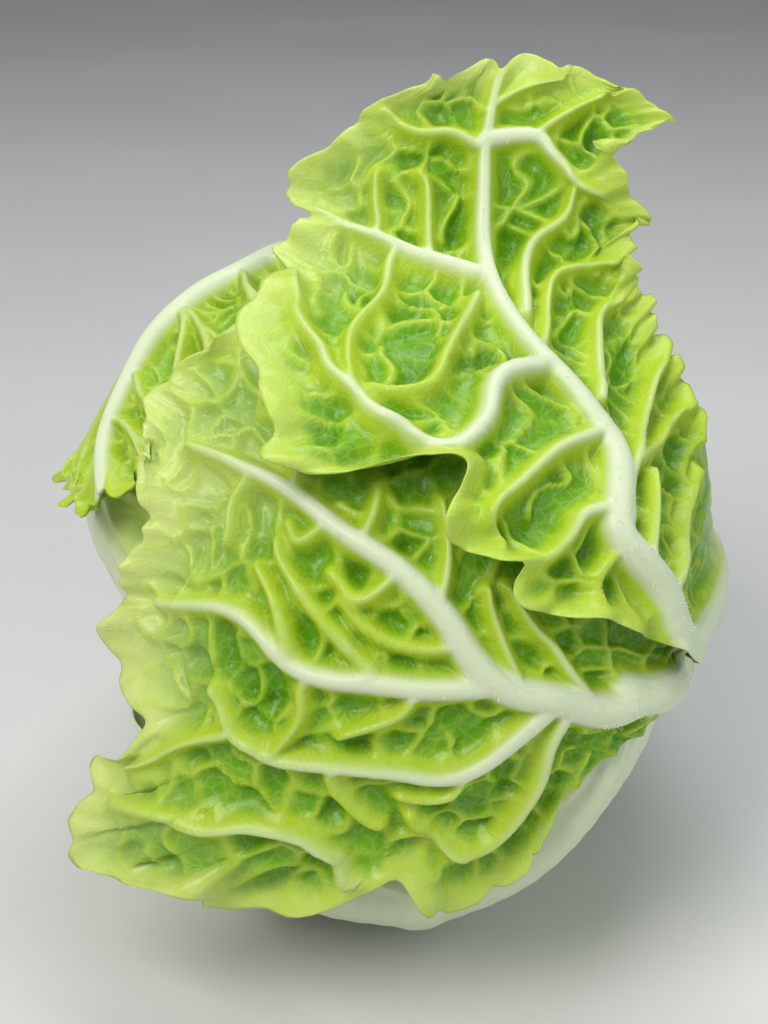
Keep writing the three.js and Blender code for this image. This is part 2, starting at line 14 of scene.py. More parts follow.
import bpy
import numpy as np
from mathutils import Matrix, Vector


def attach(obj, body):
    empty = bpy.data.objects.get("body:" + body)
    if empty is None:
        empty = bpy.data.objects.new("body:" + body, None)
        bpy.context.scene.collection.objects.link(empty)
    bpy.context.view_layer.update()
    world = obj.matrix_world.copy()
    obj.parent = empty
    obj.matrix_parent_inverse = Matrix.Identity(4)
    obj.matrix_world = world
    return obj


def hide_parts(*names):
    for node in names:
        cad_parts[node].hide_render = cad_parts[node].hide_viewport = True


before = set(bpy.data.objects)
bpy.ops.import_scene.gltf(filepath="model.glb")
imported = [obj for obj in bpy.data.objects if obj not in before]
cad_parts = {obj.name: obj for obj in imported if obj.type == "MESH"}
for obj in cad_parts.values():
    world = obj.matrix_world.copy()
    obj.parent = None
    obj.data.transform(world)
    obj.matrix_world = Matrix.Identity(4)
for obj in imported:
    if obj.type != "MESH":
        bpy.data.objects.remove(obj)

LOG = logging.getLogger("napa_cabbage")
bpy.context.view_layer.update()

Vector3 = tuple[float, float, float]
Row = list[Vector3]
Scallops = tuple[tuple[Vector3, ...], ...]

# Sizes in millimetres that the solids and the shown leaves share.
BLADE = 1.2
PETIOLE = 4.5
RIB_AT_TIP = 1.3
RIDGE = 4.2
CROSS_RIDGE = 3.0
FRILL = 4.0
LEAF_GAP = 1.0
HEART_HEIGHT = -24.0
HEART_SLACK = 1.0
BURIED = -40.0

# Shares: of the relief lost where a leaf is covered, of a ridge's height kept, of the rows on a leaf's base, and of
# the leaf's length that is base.
PRESSED = 0.75
RIDGE_KEPT = 0.875
BASE_ROWS = 1 / 6
BASE_END = 0.24

# Cells of the map's rasters, in millimetres: for the solids' forms and for the shown leaves.
FORM_CELL = 3.0
LOOK_CELL = 2.0

# Where along a leaf its side veins and its spine end at the latest.
VEIN_END = 0.99

# The linear congruential generator of the solids, x -> factor x + step modulo its range, and a leaf's first seed and
# the step of the seeds from leaf to leaf.
DRAW_FACTOR = 1664525
DRAW_STEP = 1013904223
DRAW_RANGE = 2**32
FIRST_SEED = 11
SEED_STEP = 7

# Margins: swing of the outline as a share of the leaf's half-width, about the mean of |sin|, and the small lobes
# along the leaf's end as a multiple of the crinkle, in millimetres.
SWING = 0.04
MEAN_LOBE = 0.64
END_LOBES = 80

# Margins in millimetres: small waves and how far they are let down, the ripples on them, how far the margin bulges out
# between two veins and is drawn in at them, and how far the corners of the tip are cut back.
SMALL_WAVES = 2.4
WAVES_DOWN = 1.5
RIPPLES = 0.3
BULGE = 5.0
DRAWN_IN = 3.0
CORNERS = 7.0

# The fine net: length and size of the waves that bend its space, length of its wrinkles, all in millimetres, how many
# places are tried as seeds, and their least distance as a share of a cell.
BEND_LENGTH = 34.0
BEND_SIZE = 2.2
WRINKLE_LENGTH = 8.0
SEED_TRIES = 3000
SEED_SPACING = 0.62

# Numbers of points that are worked out at a time, which keeps the arrays of distances small.
VEIN_CHUNK = 4096
NET_CHUNK = 8192

MM = 0.001


def smooth(x: np.ndarray, low: float, high: float) -> np.ndarray:
    """Smooth step: 0 below low, 1 above high, and 3t^2 - 2t^3 between them.

    Args:
        x: the values.
        low, high: where the step begins and ends.

    Returns:
        An array of x's shape from 0 to 1.
    """
    t = np.clip((np.asarray(x, float) - low) / (high - low), 0.0, 1.0)
    return t * t * (3.0 - 2.0 * t)


@dataclass(frozen=True)
class Head:
    """The head's skin, a surface turned about the Y axis, in millimetres.

    The crown is a superellipse dome, x^p + y^p = 1, and the body narrows to the cut with a power law. A place on it
    is the arc length from the crown pole and the angle round the axis, laid out flat as a map point (m, n). Each
    hollow is a direction, a spread and a depth: a bell exp(-(away / spread)^2) that is pressed in along the body.
    """

    length: float = 272.0
    girth: float = 95.0
    crown_depth: float = 125.0
    crown_power: float = 2.3
    root_radius: float = 50.0
    taper_power: float = 2.2
    axis_height: float = 95.0
    crown_y: float = -130.0
    shift: Vector3 = (-0.558, -5.935, 0.0)
    hollows: tuple[Vector3, ...] = ((-22.0, 38.0, 16.0), (192.0, 28.0, 8.0))
    hollow_from: tuple[float, float] = (60.0, 105.0)
    hollow_to: tuple[float, float] = (210.0, 310.0)
    profile_points: int = 1200

    def table(self) -> np.ndarray:
        """The profile, evenly spaced along its arc.

        Returns:
            Rows of arc length, axial place, radius, and the outward and backward parts of the normal.
        """
        turn = np.linspace(0.0, np.pi / 2, self.profile_points)
        share = np.linspace(0.0, 1.0, self.profile_points)[1:]
        axial = np.r_[
            self.crown_depth * (1 - np.cos(turn) ** (2 / self.crown_power)),
            self.crown_depth + (self.length - self.crown_depth) * share,
        ]
        radius = np.r_[
            self.girth * np.sin(turn) ** (2 / self.crown_power),
            self.girth - (self.girth - self.root_radius) * share**self.taper_power,
        ]
        arc = np.r_[0.0, np.cumsum(np.hypot(np.diff(axial), np.diff(radius)))]
        even = np.linspace(0.0, arc[-1], self.profile_points)
        axial, radius = np.interp(even, arc, axial), np.interp(even, arc, radius)
        slope = np.stack([np.gradient(axial, even), np.gradient(radius, even)])
        slope /= np.hypot(*slope)
        return np.stack([even, axial, radius, slope[0], -slope[1]])

    def place(self, m: np.ndarray, n: np.ndarray, h: np.ndarray) -> np.ndarray:
        """Points at height h over the map points (m, n): the skin point plus h less the hollow along its normal.

        Args:
            m, n: map coordinates.
            h: heights over the skin.

        Returns:
            An array of the same shape with x, y and z last, in millimetres.
        """
        s_table, axial, radius, outward, backward = PROFILE
        s = np.hypot(m, n)
        c, d = m / np.maximum(s, 1e-6), n / np.maximum(s, 1e-6)
        along = smooth(s, *self.hollow_from) * (1 - smooth(s, *self.hollow_to))
        over = np.array(h, float)
        for angle, spread, depth in self.hollows:
            nearness = c * np.cos(np.radians(angle)) + d * np.sin(np.radians(angle))
            away = np.degrees(np.arccos(np.clip(nearness, -1, 1)))
            over = over - along * depth * np.exp(-((away / spread) ** 2))
        out = np.interp(s, s_table, outward)
        r = np.interp(s, s_table, radius) + over * out
        y = self.crown_y + np.interp(s, s_table, axial) + over * np.interp(s, s_table, backward)
        y = np.minimum(y, self.crown_y + self.length)
        return np.stack([r * c, y, self.axis_height + r * d], -1) + np.array(self.shift)


HEAD = Head()
PROFILE = HEAD.table()
CUT = float(PROFILE[0][-1])


def at(s: float, degrees: float, least: float = BURIED) -> Vector3:
    """A station of a layout: the map point at arc length s in a direction, with the leaf's least height there."""
    return (s * math.cos(math.radians(degrees)), s * math.sin(math.radians(degrees)), least)


UPPER_FACE: list[Row] = [
    [at(CUT, -20), at(CUT, -9), at(CUT, 2), at(CUT, 14), at(CUT, 26)],
    [at(228, -20), at(232, -8), at(235, 4), at(230, 16), at(222, 29)],
    [at(150, -7), at(154, 1), at(158, 8), at(150, 19), at(140, 32)],
    [(84, 11, 1), (87, 15, 3), (93, 20, 5), (104, 30, 7), (113, 46, 10)],
    [(56, 32, 4), (64, 38, 5), (73, 44, 6), (88, 57, 8), (107, 76, 15)],
    [(22, 47, 6), (46, 57, 4), (69, 71, 6), (84, 82, 8), (99, 102, 17)],
    [(9, 71, 4), (35, 80, 1), (63, 94, 6), (77, 104, 10), (88, 117, 21)],
    [(-32, 80, 9), (6, 103, 0), (51, 115, 7), (68, 122, 13), (82, 131, 29)],
    [(-41, 129, 9), (-4, 134, 2), (38, 141, 12), (58, 138, 23), (76, 139, 39)],
    [(-38, 154, 22), (0, 152, 18), (31, 156, 29), (54, 150, 40), (75, 147, 52)],
    [(-16, 167, 42), (8, 165, 43), (31, 165, 48), (54, 160, 55), (78, 156, 63)],
    [(12, 172, 54), (22, 172, 57), (34, 172, 61), (52, 169, 63), (70, 166, 63)],
]
LOWER_FACE: list[Row] = [
    [at(CUT, -60), at(CUT, -49), at(CUT, -38), at(CUT, -27), at(CUT, -16)],
    [at(230, -56), at(234, -44), at(236, -32), at(232, -19), at(226, -6)],
    [at(162, -34), at(166, -26), at(170, -18), at(162, -6), at(154, 7)],
    [(108, -26, 2), (111, -20, 3), (114, -13, 3), (112, 0, 0), (106, 14, 0)],
    [(69, -6, 3), (73, -2, 4), (78, 3, 5), (81, 15, 1), (83, 29, 0)],
    [(43, -18, 4), (52, -5, 4), (62, 6, 4), (69, 21, 1), (76, 38, 0)],
    [(28, -40, 4), (38, -14, 3), (49, 11, 4), (60, 29, 1), (70, 50, 0)],
    [(2, -42, 4), (18, -14, 2), (37, 15, 4), (50, 37, 0), (62, 60, 0)],
    [(-38, -42, 6), (-6, -16, 2), (27, 19, 3), (40, 45, 0), (54, 72, 0)],
    [(-70, -39, 34), (-28, -10, 2), (17, 27, 3), (33, 52, 0), (49, 78, 0)],
    [(-80, -24, 24), (-37, 2, 2), (9, 39, 3), (25, 61, 0), (41, 86, 0)],
    [(-72, -6, -2), (-44, 14, 2), (-1, 51, 3), (16, 71, 0), (32, 93, 0)],
    [(-87, 20, 3), (-54, 34, 2), (-17, 60, 2), (0, 84, 0), (12, 104, 0)],
    [(-76, 44, 2), (-58, 50, 1), (-35, 70, 2), (-26, 92, 1), (-17, 112, 2)],
    [(-72, 60, 3), (-66, 66, 2), (-55, 77, 3), (-50, 94, 3), (-44, 112, 4)],
    [(-79, 74, 4), (-78, 79, 4), (-77, 85, 4), (-71, 94, 5), (-62, 104, 6)],
]
UNDER: list[Row] = [
    [at(CUT, -118), at(CUT, -104), at(CUT, -90), at(CUT, -76), at(CUT, -62)],
    [at(232, -132, -4), at(238, -110, 0), at(242, -88, 1), at(238, -66, 0), at(232, -44, -4)],
    [at(165, -150, -2), at(172, -118, 2), at(176, -86, 2), at(170, -54, 2), at(162, -26, -2)],
    [at(112, -154, -3), at(116, -120, 3), at(118, -85, 4), at(112, -45, 2), at(106, -8, 0)],
    [at(86, -152, 0), at(86, -120, 4), at(84, -85, 5), at(82, -42, 3), at(84, 4, 1)],
    [at(70, -148, -2), at(60, -120, 0), at(54, -85, 1), at(56, -42, 0), at(66, 6, -2)],
    [at(52, -140), at(38, -120), at(30, -85), at(34, -42), at(50, 2)],
]
SHOULDER: list[Row] = [
    [at(CUT, 80), at(CUT, 90), at(CUT, 100), at(CUT, 110), at(CUT, 120)],
    [at(240, 76), at(242, 88), at(244, 102), at(242, 114), at(238, 126)],
    [at(190, 80), at(194, 92), at(200, 108, 2), at(204, 122), at(206, 138)],
    [at(132, 98), at(148, 106, 5), at(165, 115, 10), at(180, 130, 0), at(192, 146)],
    [at(120, 112, 4), at(136, 117, 9), at(154, 123, 14), at(166, 138, 3), at(176, 152)],
    [at(112, 124, 5), at(126, 128, 11), at(142, 132, 15), at(150, 146, 5), at(158, 158)],
    [at(108, 134, 4), at(116, 138, 8), at(126, 142, 9), at(129, 150, 2), at(132, 157, -2)],
    [at(100, 141, 2), at(103, 145, 3), at(106, 149, 3), at(108, 152, 0), at(110, 156, -4)],
]
LEFT: list[Row] = [
    [at(CUT, 152), at(CUT, 162), at(CUT, 172), at(CUT, 182), at(CUT, 192)],
    [at(238, 148), at(240, 160), at(242, 172), at(238, 184), at(232, 196)],
    [at(192, 142), at(194, 155), at(190, 168, -2), at(180, 182), at(170, 196)],
    [at(160, 136), at(158, 149), at(152, 162, 2), at(134, 174, -6), at(116, 188)],
    [at(144, 130), at(142, 142), at(132, 154, 4), at(112, 164, -6), at(92, 178)],
    [at(142, 124), at(138, 134), at(131, 146, 4), at(108, 152, -7), at(84, 162)],
    [at(138, 119), at(132, 127), at(126, 137, 2), at(108, 142, -6), at(88, 148)],
    [at(132, 116), at(128, 121), at(122, 127), at(112, 132), at(100, 137)],
]
UPPER_SCALLOPS: Scallops = (
    (
        (0.4, 0.03, 0.12), (0.45, 0.02, -0.08), (0.49, 0.02, 0.1), (0.535, 0.016, -0.14),
        (0.585, 0.03, 0.14), (0.79, 0.02, -0.1), (0.85, 0.03, 0.07),
    ),
    ((0.42, 0.04, 0.05), (0.62, 0.02, -0.1), (0.71, 0.03, 0.16), (0.8, 0.025, -0.28), (0.9, 0.04, 0.12)),
)
LOWER_SCALLOPS: Scallops = (
    (
        (0.42, 0.03, 0.06), (0.48, 0.02, -0.1), (0.53, 0.025, 0.06), (0.57, 0.015, -0.06),
        (0.64, 0.02, 0.05), (0.8, 0.03, 0.02),
    ),
    ((0.5, 0.03, 0.05), (0.7, 0.03, 0.05)),
)


def wrapper(root: float, crown: float, tip: float, least: float = BURIED) -> list[Row]:
    """A plain wrapper leaf's layout, from its direction at the cut to that of its tip, tip millimetres from the pole.

    Args:
        root, crown: directions of the rib at the cut and at the tip, in degrees.
        tip: arc length from the crown pole to the leaf's tip.
        least: least height of its rib over the crown's shoulder.

    Returns:
        Stations from base to tip of five map points each. The margins lag behind the rib by a square law.
    """
    stations = [(CUT, 20, 0), (275, 34, 10), (225, 52, 20), (175, 68, 28), (135, 74, 30), (105, 66, 24), (tip, 16, 0)]
    rows: list[Row] = []
    for k, (s, half, ahead) in enumerate(stations):
        middle = root + (crown - root) * k / (len(stations) - 1)
        length = s if s == CUT else max(s, tip)
        spread = math.degrees(half / float(np.interp(length, PROFILE[0], PROFILE[2])))
        lag = ahead * (1.0 if length > tip + ahead else 0.3)
        low = least if k > 2 else BURIED
        sides = (-1, -0.5, 0, 0.5, 1)
        rows.append([at(length - lag * x * x, middle + x * spread, low - 3 * abs(x) * (k > 2)) for x in sides])
    return rows


def through(rows: np.ndarray, x: np.ndarray) -> np.ndarray:
    """Catmull-Rom spline through evenly spaced rows: the cubic through each pair with the neighbours' mean slopes.

    Args:
        rows: values with the rows first.
        x: places counted in rows.

    Returns:
        The values at x, with x's shape first.
    """
    padded = np.concatenate([2 * rows[:1] - rows[1:2], rows, 2 * rows[-1:] - rows[-2:-1]])
    k = np.clip(np.floor(x).astype(int), 0, len(rows) - 2)
    f = (x - k).reshape(x.shape + (1,) * (rows.ndim - 1))
    a, b, c, d = (padded[k + i] for i in range(4))
    return 0.5 * (2 * b + (c - a) * f + (2 * a - 5 * b + 4 * c - d) * f**2 + (3 * b - a - 3 * c + d) * f**3)


class Fineness(Enum):
    """Rows and columns of a leaf's form grid, waves along its margins and rows from one side vein to the next."""

    FINE = (40, 24, 9, 3)
    SHAPED = (18, 14, 5, 2)
    PLAIN = (14, 12, 3, 2)


@dataclass
class Form:
    """A leaf's form: its layout and, once draped, the heights of its ridges on a coarse grid."""

    name: str
    layout: list[Row]
    fineness: Fineness
    order: int
    scallops: Scallops = ((), ())
    blade_from: tuple[float, float] = (0.14, 0.42)
    ridges: np.ndarray | None = None
    cover: np.ndarray | None = None

    def lay(self, u: np.ndarray, v: np.ndarray, crinkle: float = 0.0) -> np.ndarray:
        """Map points and least heights at places u along (0 to 1) and v across (-1 to 1), one spline after another.

        The free margins swing in and out: by SWING sin(wave), by the scallops' bells a exp(-((u - place) / spread)^2)
        and by small round lobes |sin| that crinkle scales. Such lobes run along the leaf's end too.

        Args:
            u, v: places along and across.
            crinkle: size of the small lobes, as a share of the leaf's half-width.

        Returns:
            An array of u by v by (m, n, least height).
        """
        net = np.array(self.layout, float)
        rails = through(net, u * (len(net) - 1))
        net_rows = through(np.swapaxes(rails, 0, 1), 2 + 2 * v)
        laid = np.swapaxes(net_rows, 0, 1).copy()
        reach = SWING * np.sin(self.wave(u, v, 2.0))
        for side, bells in zip((v < 0, v >= 0), self.scallops):
            for place, spread, amount in bells:
                reach += np.outer(amount * np.exp(-(((u - place) / spread) ** 2)), side)
        wave = self.wave(u, v, 0.6)
        reach += crinkle * (np.abs(np.sin(1.15 * wave)) - MEAN_LOBE)
        middle = rails[:, None, 2, :2]
        laid[..., :2] = middle + (laid[..., :2] - middle) * (1 + self.free(u, v) * reach)[..., None]
        ahead = laid[-1, :, :2] - laid[-8, :, :2]
        ahead /= np.maximum(np.linalg.norm(ahead, axis=-1), 1e-6)[:, None]
        lobes = END_LOBES * crinkle * (np.abs(np.sin(5.0 * v + 1.0)) - MEAN_LOBE)
        laid[..., :2] += smooth(u, 0.94, 1.0)[:, None, None] * (lobes[:, None] * ahead)[None]
        return laid

    def wave(self, u: np.ndarray, v: np.ndarray, lean: float) -> np.ndarray:
        """The angle of the margin's waves, which grows evenly along the leaf and by lean across it.

        It starts at 6 times the first draw, from 0 to 1, of the generator that the solids use, with the leaf's seed.

        Args:
            u, v: places along and across.
            lean: how much the angle grows from the rib to a margin.

        Returns:
            Angles in radians, u by v.
        """
        seed = FIRST_SEED + SEED_STEP * self.order
        start = 6.0 * ((seed * DRAW_FACTOR + DRAW_STEP) % DRAW_RANGE) / DRAW_RANGE
        turns = 2 * math.pi * self.fineness.value[2] * (u - BASE_END) / (1 - BASE_END)
        return turns[:, None] + lean * v[None, :] + start

    @staticmethod
    def free(u: np.ndarray, v: np.ndarray) -> np.ndarray:
        """How free the blade is: the cube of the distance from the rib, growing from the leaf's base."""
        return np.abs(v[None, :]) ** 3 * smooth(u, 0.2, 0.4)[:, None]

    def frill(self, u: np.ndarray, v: np.ndarray) -> np.ndarray:
        """Lift of the free margins' waves in millimetres: FRILL free (1 + sin(wave)) / 2."""
        return FRILL * self.free(u, v) * (0.5 + 0.5 * np.sin(self.wave(u, v, 3.0)))

    def coarse(self) -> tuple[np.ndarray, np.ndarray]:
        """The form grid's own places.

        Returns:
            Places along, wider apart on the leaf's base, and places across.
        """
        rows, columns = self.fineness.value[:2]
        steps = [0, round(rows * BASE_ROWS), rows]
        return np.interp(np.arange(rows + 1), steps, [0, BASE_END, 1]), np.linspace(-1, 1, columns + 1)

    def relief(self) -> np.ndarray:
        """Ridges of the form grid: side veins on every few rows, and cross veins between them laid like bricks.

        Returns:
            Heights in millimetres, one for each of the grid's points.
        """
        rows, columns, _, pitch = self.fineness.value
        i = np.arange(rows + 1)[:, None]
        out = np.abs(np.arange(columns + 1)[None, :] - columns // 2)
        cross = (out + i // pitch % 2) % pitch == 0
        return RIDGE_KEPT * np.where((out == 0) | (i % pitch == 0), RIDGE, np.where(cross, CROSS_RIDGE, 0.0))

    def upsample(self, values: np.ndarray, u: np.ndarray, v: np.ndarray) -> np.ndarray:
        """Values of the form grid at finer places, by the same spline both ways.

        Args:
            values: one value for each of the form grid's points.
            u, v: places along and across.

        Returns:
            The values, u by v.
        """
        places, _ = self.coarse()
        part = through(values, np.interp(u, places, np.arange(len(places))))
        return through(part.T, (v + 1) / 2 * (values.shape[1] - 1)).T


class MapRaster:
    """A square raster over the head's map that holds one number a cell."""

    def __init__(self, fill: float, cell: float) -> None:
        """Makes the raster.

        Args:
            fill: every cell's value at first.
            cell: width of a cell in millimetres.
        """
        self.cell = cell
        self.half = math.ceil((CUT + 12) / cell)
        self.width = 2 * self.half + 1
        self.values = np.full(self.width**2, fill)

    def index(self, m: np.ndarray, n: np.ndarray) -> np.ndarray:
        """The numbers of the cells that hold the map points (m, n)."""
        i = np.clip(np.rint(m / self.cell).astype(int) + self.half, 0, self.width - 1)
        j = np.clip(np.rint(n / self.cell).astype(int) + self.half, 0, self.width - 1)
        return j * self.width + i

    def lift(self, m: np.ndarray, n: np.ndarray, h: np.ndarray, parts: int) -> None:
        """Raises the cells under a grid to its heights.

        Args:
            m, n: the grid's map points.
            h: its heights.
            parts: each of its quads is sampled at (parts + 1)^2 places.
        """
        for values in quad_samples(np.stack([m, n, h]), parts):
            np.maximum.at(self.values, self.index(values[0], values[1]).ravel(), values[2].ravel())

    def blurred(self, radius: int) -> "MapRaster":
        """A copy where each cell is the mean of the square round it, as a difference of running sums.

        Args:
            radius: cells from the middle of the square to its side.

        Returns:
            The blurred raster.
        """
        grid = self.values.reshape(self.width, self.width)
        for axis in (0, 1):
            margins = [(radius + 1, radius) if side == axis else (0, 0) for side in (0, 1)]
            total = np.cumsum(np.pad(grid, margins, "edge"), axis)
            high = np.take(total, range(2 * radius + 1, total.shape[axis]), axis)
            low = np.take(total, range(0, total.shape[axis] - 2 * radius - 1), axis)
            grid = (high - low) / (2 * radius + 1)
        out = MapRaster(0.0, self.cell)
        out.values = grid.ravel()
        return out


def quad_samples(fields: np.ndarray, parts: int) -> Iterator[np.ndarray]:
    """The fields at evenly spaced places in every quad of a grid, by straight interpolation from its corners.

    Args:
        fields: arrays over a grid, stacked first.
        parts: steps from corner to corner.

    Returns:
        One array for every place in a quad, which holds that place of all quads.
    """
    a, b = fields[:, :-1, :-1], fields[:, 1:, :-1]
    c, d = fields[:, :-1, 1:], fields[:, 1:, 1:]
    for p in np.linspace(0, 1, parts + 1):
        for q in np.linspace(0, 1, parts + 1):
            yield (a * (1 - p) + b * p) * (1 - q) + (c * (1 - p) + d * p) * q


def drape(forms: list[Form]) -> None:
    """Lays the forms over one another from the inside out and fills in their ridge heights, as the solids are laid.

    Each leaf's floor is the larger of its least height and the top of what lies under it plus a gap. Averaging with
    the neighbours, but never below the floor, makes it hang like a skin.

    Args:
        forms: the leaves' forms from the innermost to the outermost, which get their ridges and cover.
    """
    cover = MapRaster(0.0, FORM_CELL)
    for form in reversed(forms):
        u, v = form.coarse()
        m, n, _ = np.moveaxis(form.lay(u, v), -1, 0)
        soft = cover.blurred(3)
        form.cover = soft.values[soft.index(m, n)]
        cover.lift(m, n, np.ones_like(m), 8)
    top = MapRaster(HEART_HEIGHT + HEART_SLACK, FORM_CELL)
    for form in forms:
        u, v = form.coarse()
        m, n, least = np.moveaxis(form.lay(u, v), -1, 0)
        share = smooth(u, *form.blade_from)[:, None] * (1 - PRESSED * form.cover)
        floor = least - BLADE - 0.8 * RIDGE * share - 0.5 * FRILL * form.free(u, v)
        for mq, nq in quad_samples(np.stack([m, n]), 8):
            under = top.values[top.index(mq, nq)] + LEAF_GAP
            for rows in (slice(None, -1), slice(1, None)):
                for columns in (slice(None, -1), slice(1, None)):
                    floor[rows, columns] = np.maximum(floor[rows, columns], under)
        inner = floor.copy()
        for _ in range(12):
            inner = np.maximum(floor, ring_mean(inner))
        rib = BLADE + rib_height(u, v)
        top.lift(m, n, inner + share * (form.relief() + form.frill(u, v)) + rib, 8)
        for _ in range(2):
            inner = 0.5 * (inner + ring_mean(inner))
        form.ridges = inner + BLADE + RIDGE_KEPT * RIDGE * share


def ring_mean(values: np.ndarray) -> np.ndarray:
    """The mean of the four neighbours of every value of a grid, where an edge is its own neighbour.

    Args:
        values: the grid.

    Returns:
        A grid of the same shape.
    """
    wide = np.pad(values, 1, "edge")
    return (wide[:-2, 1:-1] + wide[2:, 1:-1] + wide[1:-1, :-2] + wide[1:-1, 2:]) / 4


def rib_width(u: np.ndarray) -> np.ndarray:
    """Half-width of the white rib as a share of the leaf's half-width: all of it at the base, a strip at the tip."""
    return 0.95 - 0.88 * smooth(u, 0, 0.55)


def rib_height(u: np.ndarray, v: np.ndarray) -> np.ndarray:
    """Extra thickness of the rib, a bell exp(-(v / width)^2) across the leaf that thins towards the tip.

    Args:
        u, v: places along and across.

    Returns:
        Millimetres, u by v.
    """
    row = np.interp(u, [0, BASE_END, 1], [0, BASE_ROWS, 1])
    height = PETIOLE + (RIB_AT_TIP - PETIOLE) * np.minimum(1, 1.25 * row)
    return height[:, None] * np.exp(-((v[None, :] / rib_width(u)[:, None]) ** 2))


def all_forms() -> list[Form]:
    """The ten leaves' forms from the innermost to the outermost, draped."""
    plain, shaped, fine = Fineness.PLAIN, Fineness.SHAPED, Fineness.FINE
    forms = [
        Form("leaf_top_left", wrapper(130, 122, 62), plain, 0),
        Form("leaf_top_right", wrapper(60, 70, 66), plain, 1),
        Form("leaf_lower_left", wrapper(218, 206, 64), plain, 2),
        Form("leaf_lower_right", wrapper(-48, -40, 66), plain, 3),
        Form("leaf_right", wrapper(30, 38, 84, 5), plain, 4),
        Form("leaf_left", LEFT, shaped, 5),
        Form("leaf_shoulder", SHOULDER, shaped, 6),
        Form("leaf_under", UNDER, shaped, 7, blade_from=(0.7, 0.86)),
        Form("leaf_lower_face", LOWER_FACE, fine, 8, LOWER_SCALLOPS),
        Form("leaf_upper_face", UPPER_FACE, fine, 9, UPPER_SCALLOPS),
    ]
    drape(forms)
    return forms


@dataclass(frozen=True)
class Vein:
    """A side vein: its half-width at its start and end, and the places (u, v) on the leaf that it runs through."""

    start: float
    end: float
    path: tuple[tuple[float, float], ...]


UPPER_VEINS = (
    Vein(4.2, 0.8, (
        (0.301, -0.56), (0.343, -0.44), (0.383, -0.42), (0.426, -0.41), (0.464, -0.23), (0.489, -0.17),
        (0.539, -0.18), (0.607, -0.15), (0.674, -0.12), (0.739, -0.07), (0.812, -0.01), (0.870, -0.01),
        (0.940, -0.01), (0.995, -0.01),
    )),
    Vein(1.2, 0.5, ((0.346, -0.27), (0.351, 0.45), (0.346, 0.85))),
    Vein(1.1, 0.4, ((0.378, -0.42), (0.406, -0.15), (0.436, 0.04))),
    Vein(1.2, 0.5, ((0.426, -0.34), (0.459, -0.11), (0.476, 0.62), (0.456, 1.00))),
    Vein(1.2, 0.5, ((0.534, -0.07), (0.586, 0.37), (0.609, 0.60), (0.591, 0.87))),
    Vein(1.3, 0.5, ((0.659, -0.06), (0.732, 0.22), (0.754, 0.52), (0.782, 0.62))),
    Vein(2.0, 0.6, ((0.872, -0.01), (0.867, 0.30), (0.837, 0.44), (0.784, 0.69), (0.757, 0.89))),
    Vein(1.4, 0.5, ((0.451, -0.39), (0.459, -0.50), (0.449, -0.65), (0.444, -0.81), (0.451, -1.00))),
    Vein(1.4, 0.5, ((0.509, -0.21), (0.521, -0.45), (0.511, -0.70), (0.501, -0.83), (0.474, -0.91))),
    Vein(2.2, 0.8, (
        (0.594, -0.18), (0.596, -0.36), (0.569, -0.58), (0.561, -0.83), (0.591, -0.75), (0.634, -0.76),
        (0.654, -0.79), (0.677, -0.81), (0.727, -0.98),
    )),
    Vein(1.0, 0.4, ((0.689, -0.19), (0.654, -0.32), (0.629, -0.43), (0.612, -0.53), (0.612, -0.62), (0.629, -0.71))),
    Vein(2.0, 0.8, ((0.717, -0.14), (0.752, -0.31), (0.789, -0.55), (0.810, -0.86), (0.820, -0.96))),
    Vein(1.0, 0.4, ((0.769, -0.48), (0.707, -0.53), (0.667, -0.69), (0.634, -0.75))),
    Vein(0.9, 0.4, ((0.792, -0.61), (0.817, -0.61), (0.862, -0.66))),
    Vein(0.9, 0.4, ((0.759, -0.31), (0.835, -0.35), (0.857, -0.42))),
    Vein(1.2, 0.5, ((0.865, -0.04), (0.892, -0.26), (0.902, -0.54), (0.930, -0.89))),
    Vein(0.8, 0.4, ((0.910, -0.04), (0.945, 0.17), (0.985, 0.46))),
    Vein(0.8, 0.4, ((0.867, 0.30), (0.900, 0.50), (0.952, 0.82))),
    Vein(0.8, 0.4, ((0.607, -0.15), (0.664, 0.12), (0.692, 0.38), (0.669, 0.72), (0.629, 1.00))),
    Vein(0.8, 0.4, ((0.464, -0.23), (0.429, 0.58), (0.391, 1.00))),
    Vein(0.8, 0.4, ((0.406, -0.39), (0.411, -0.56), (0.391, -0.86))),
)
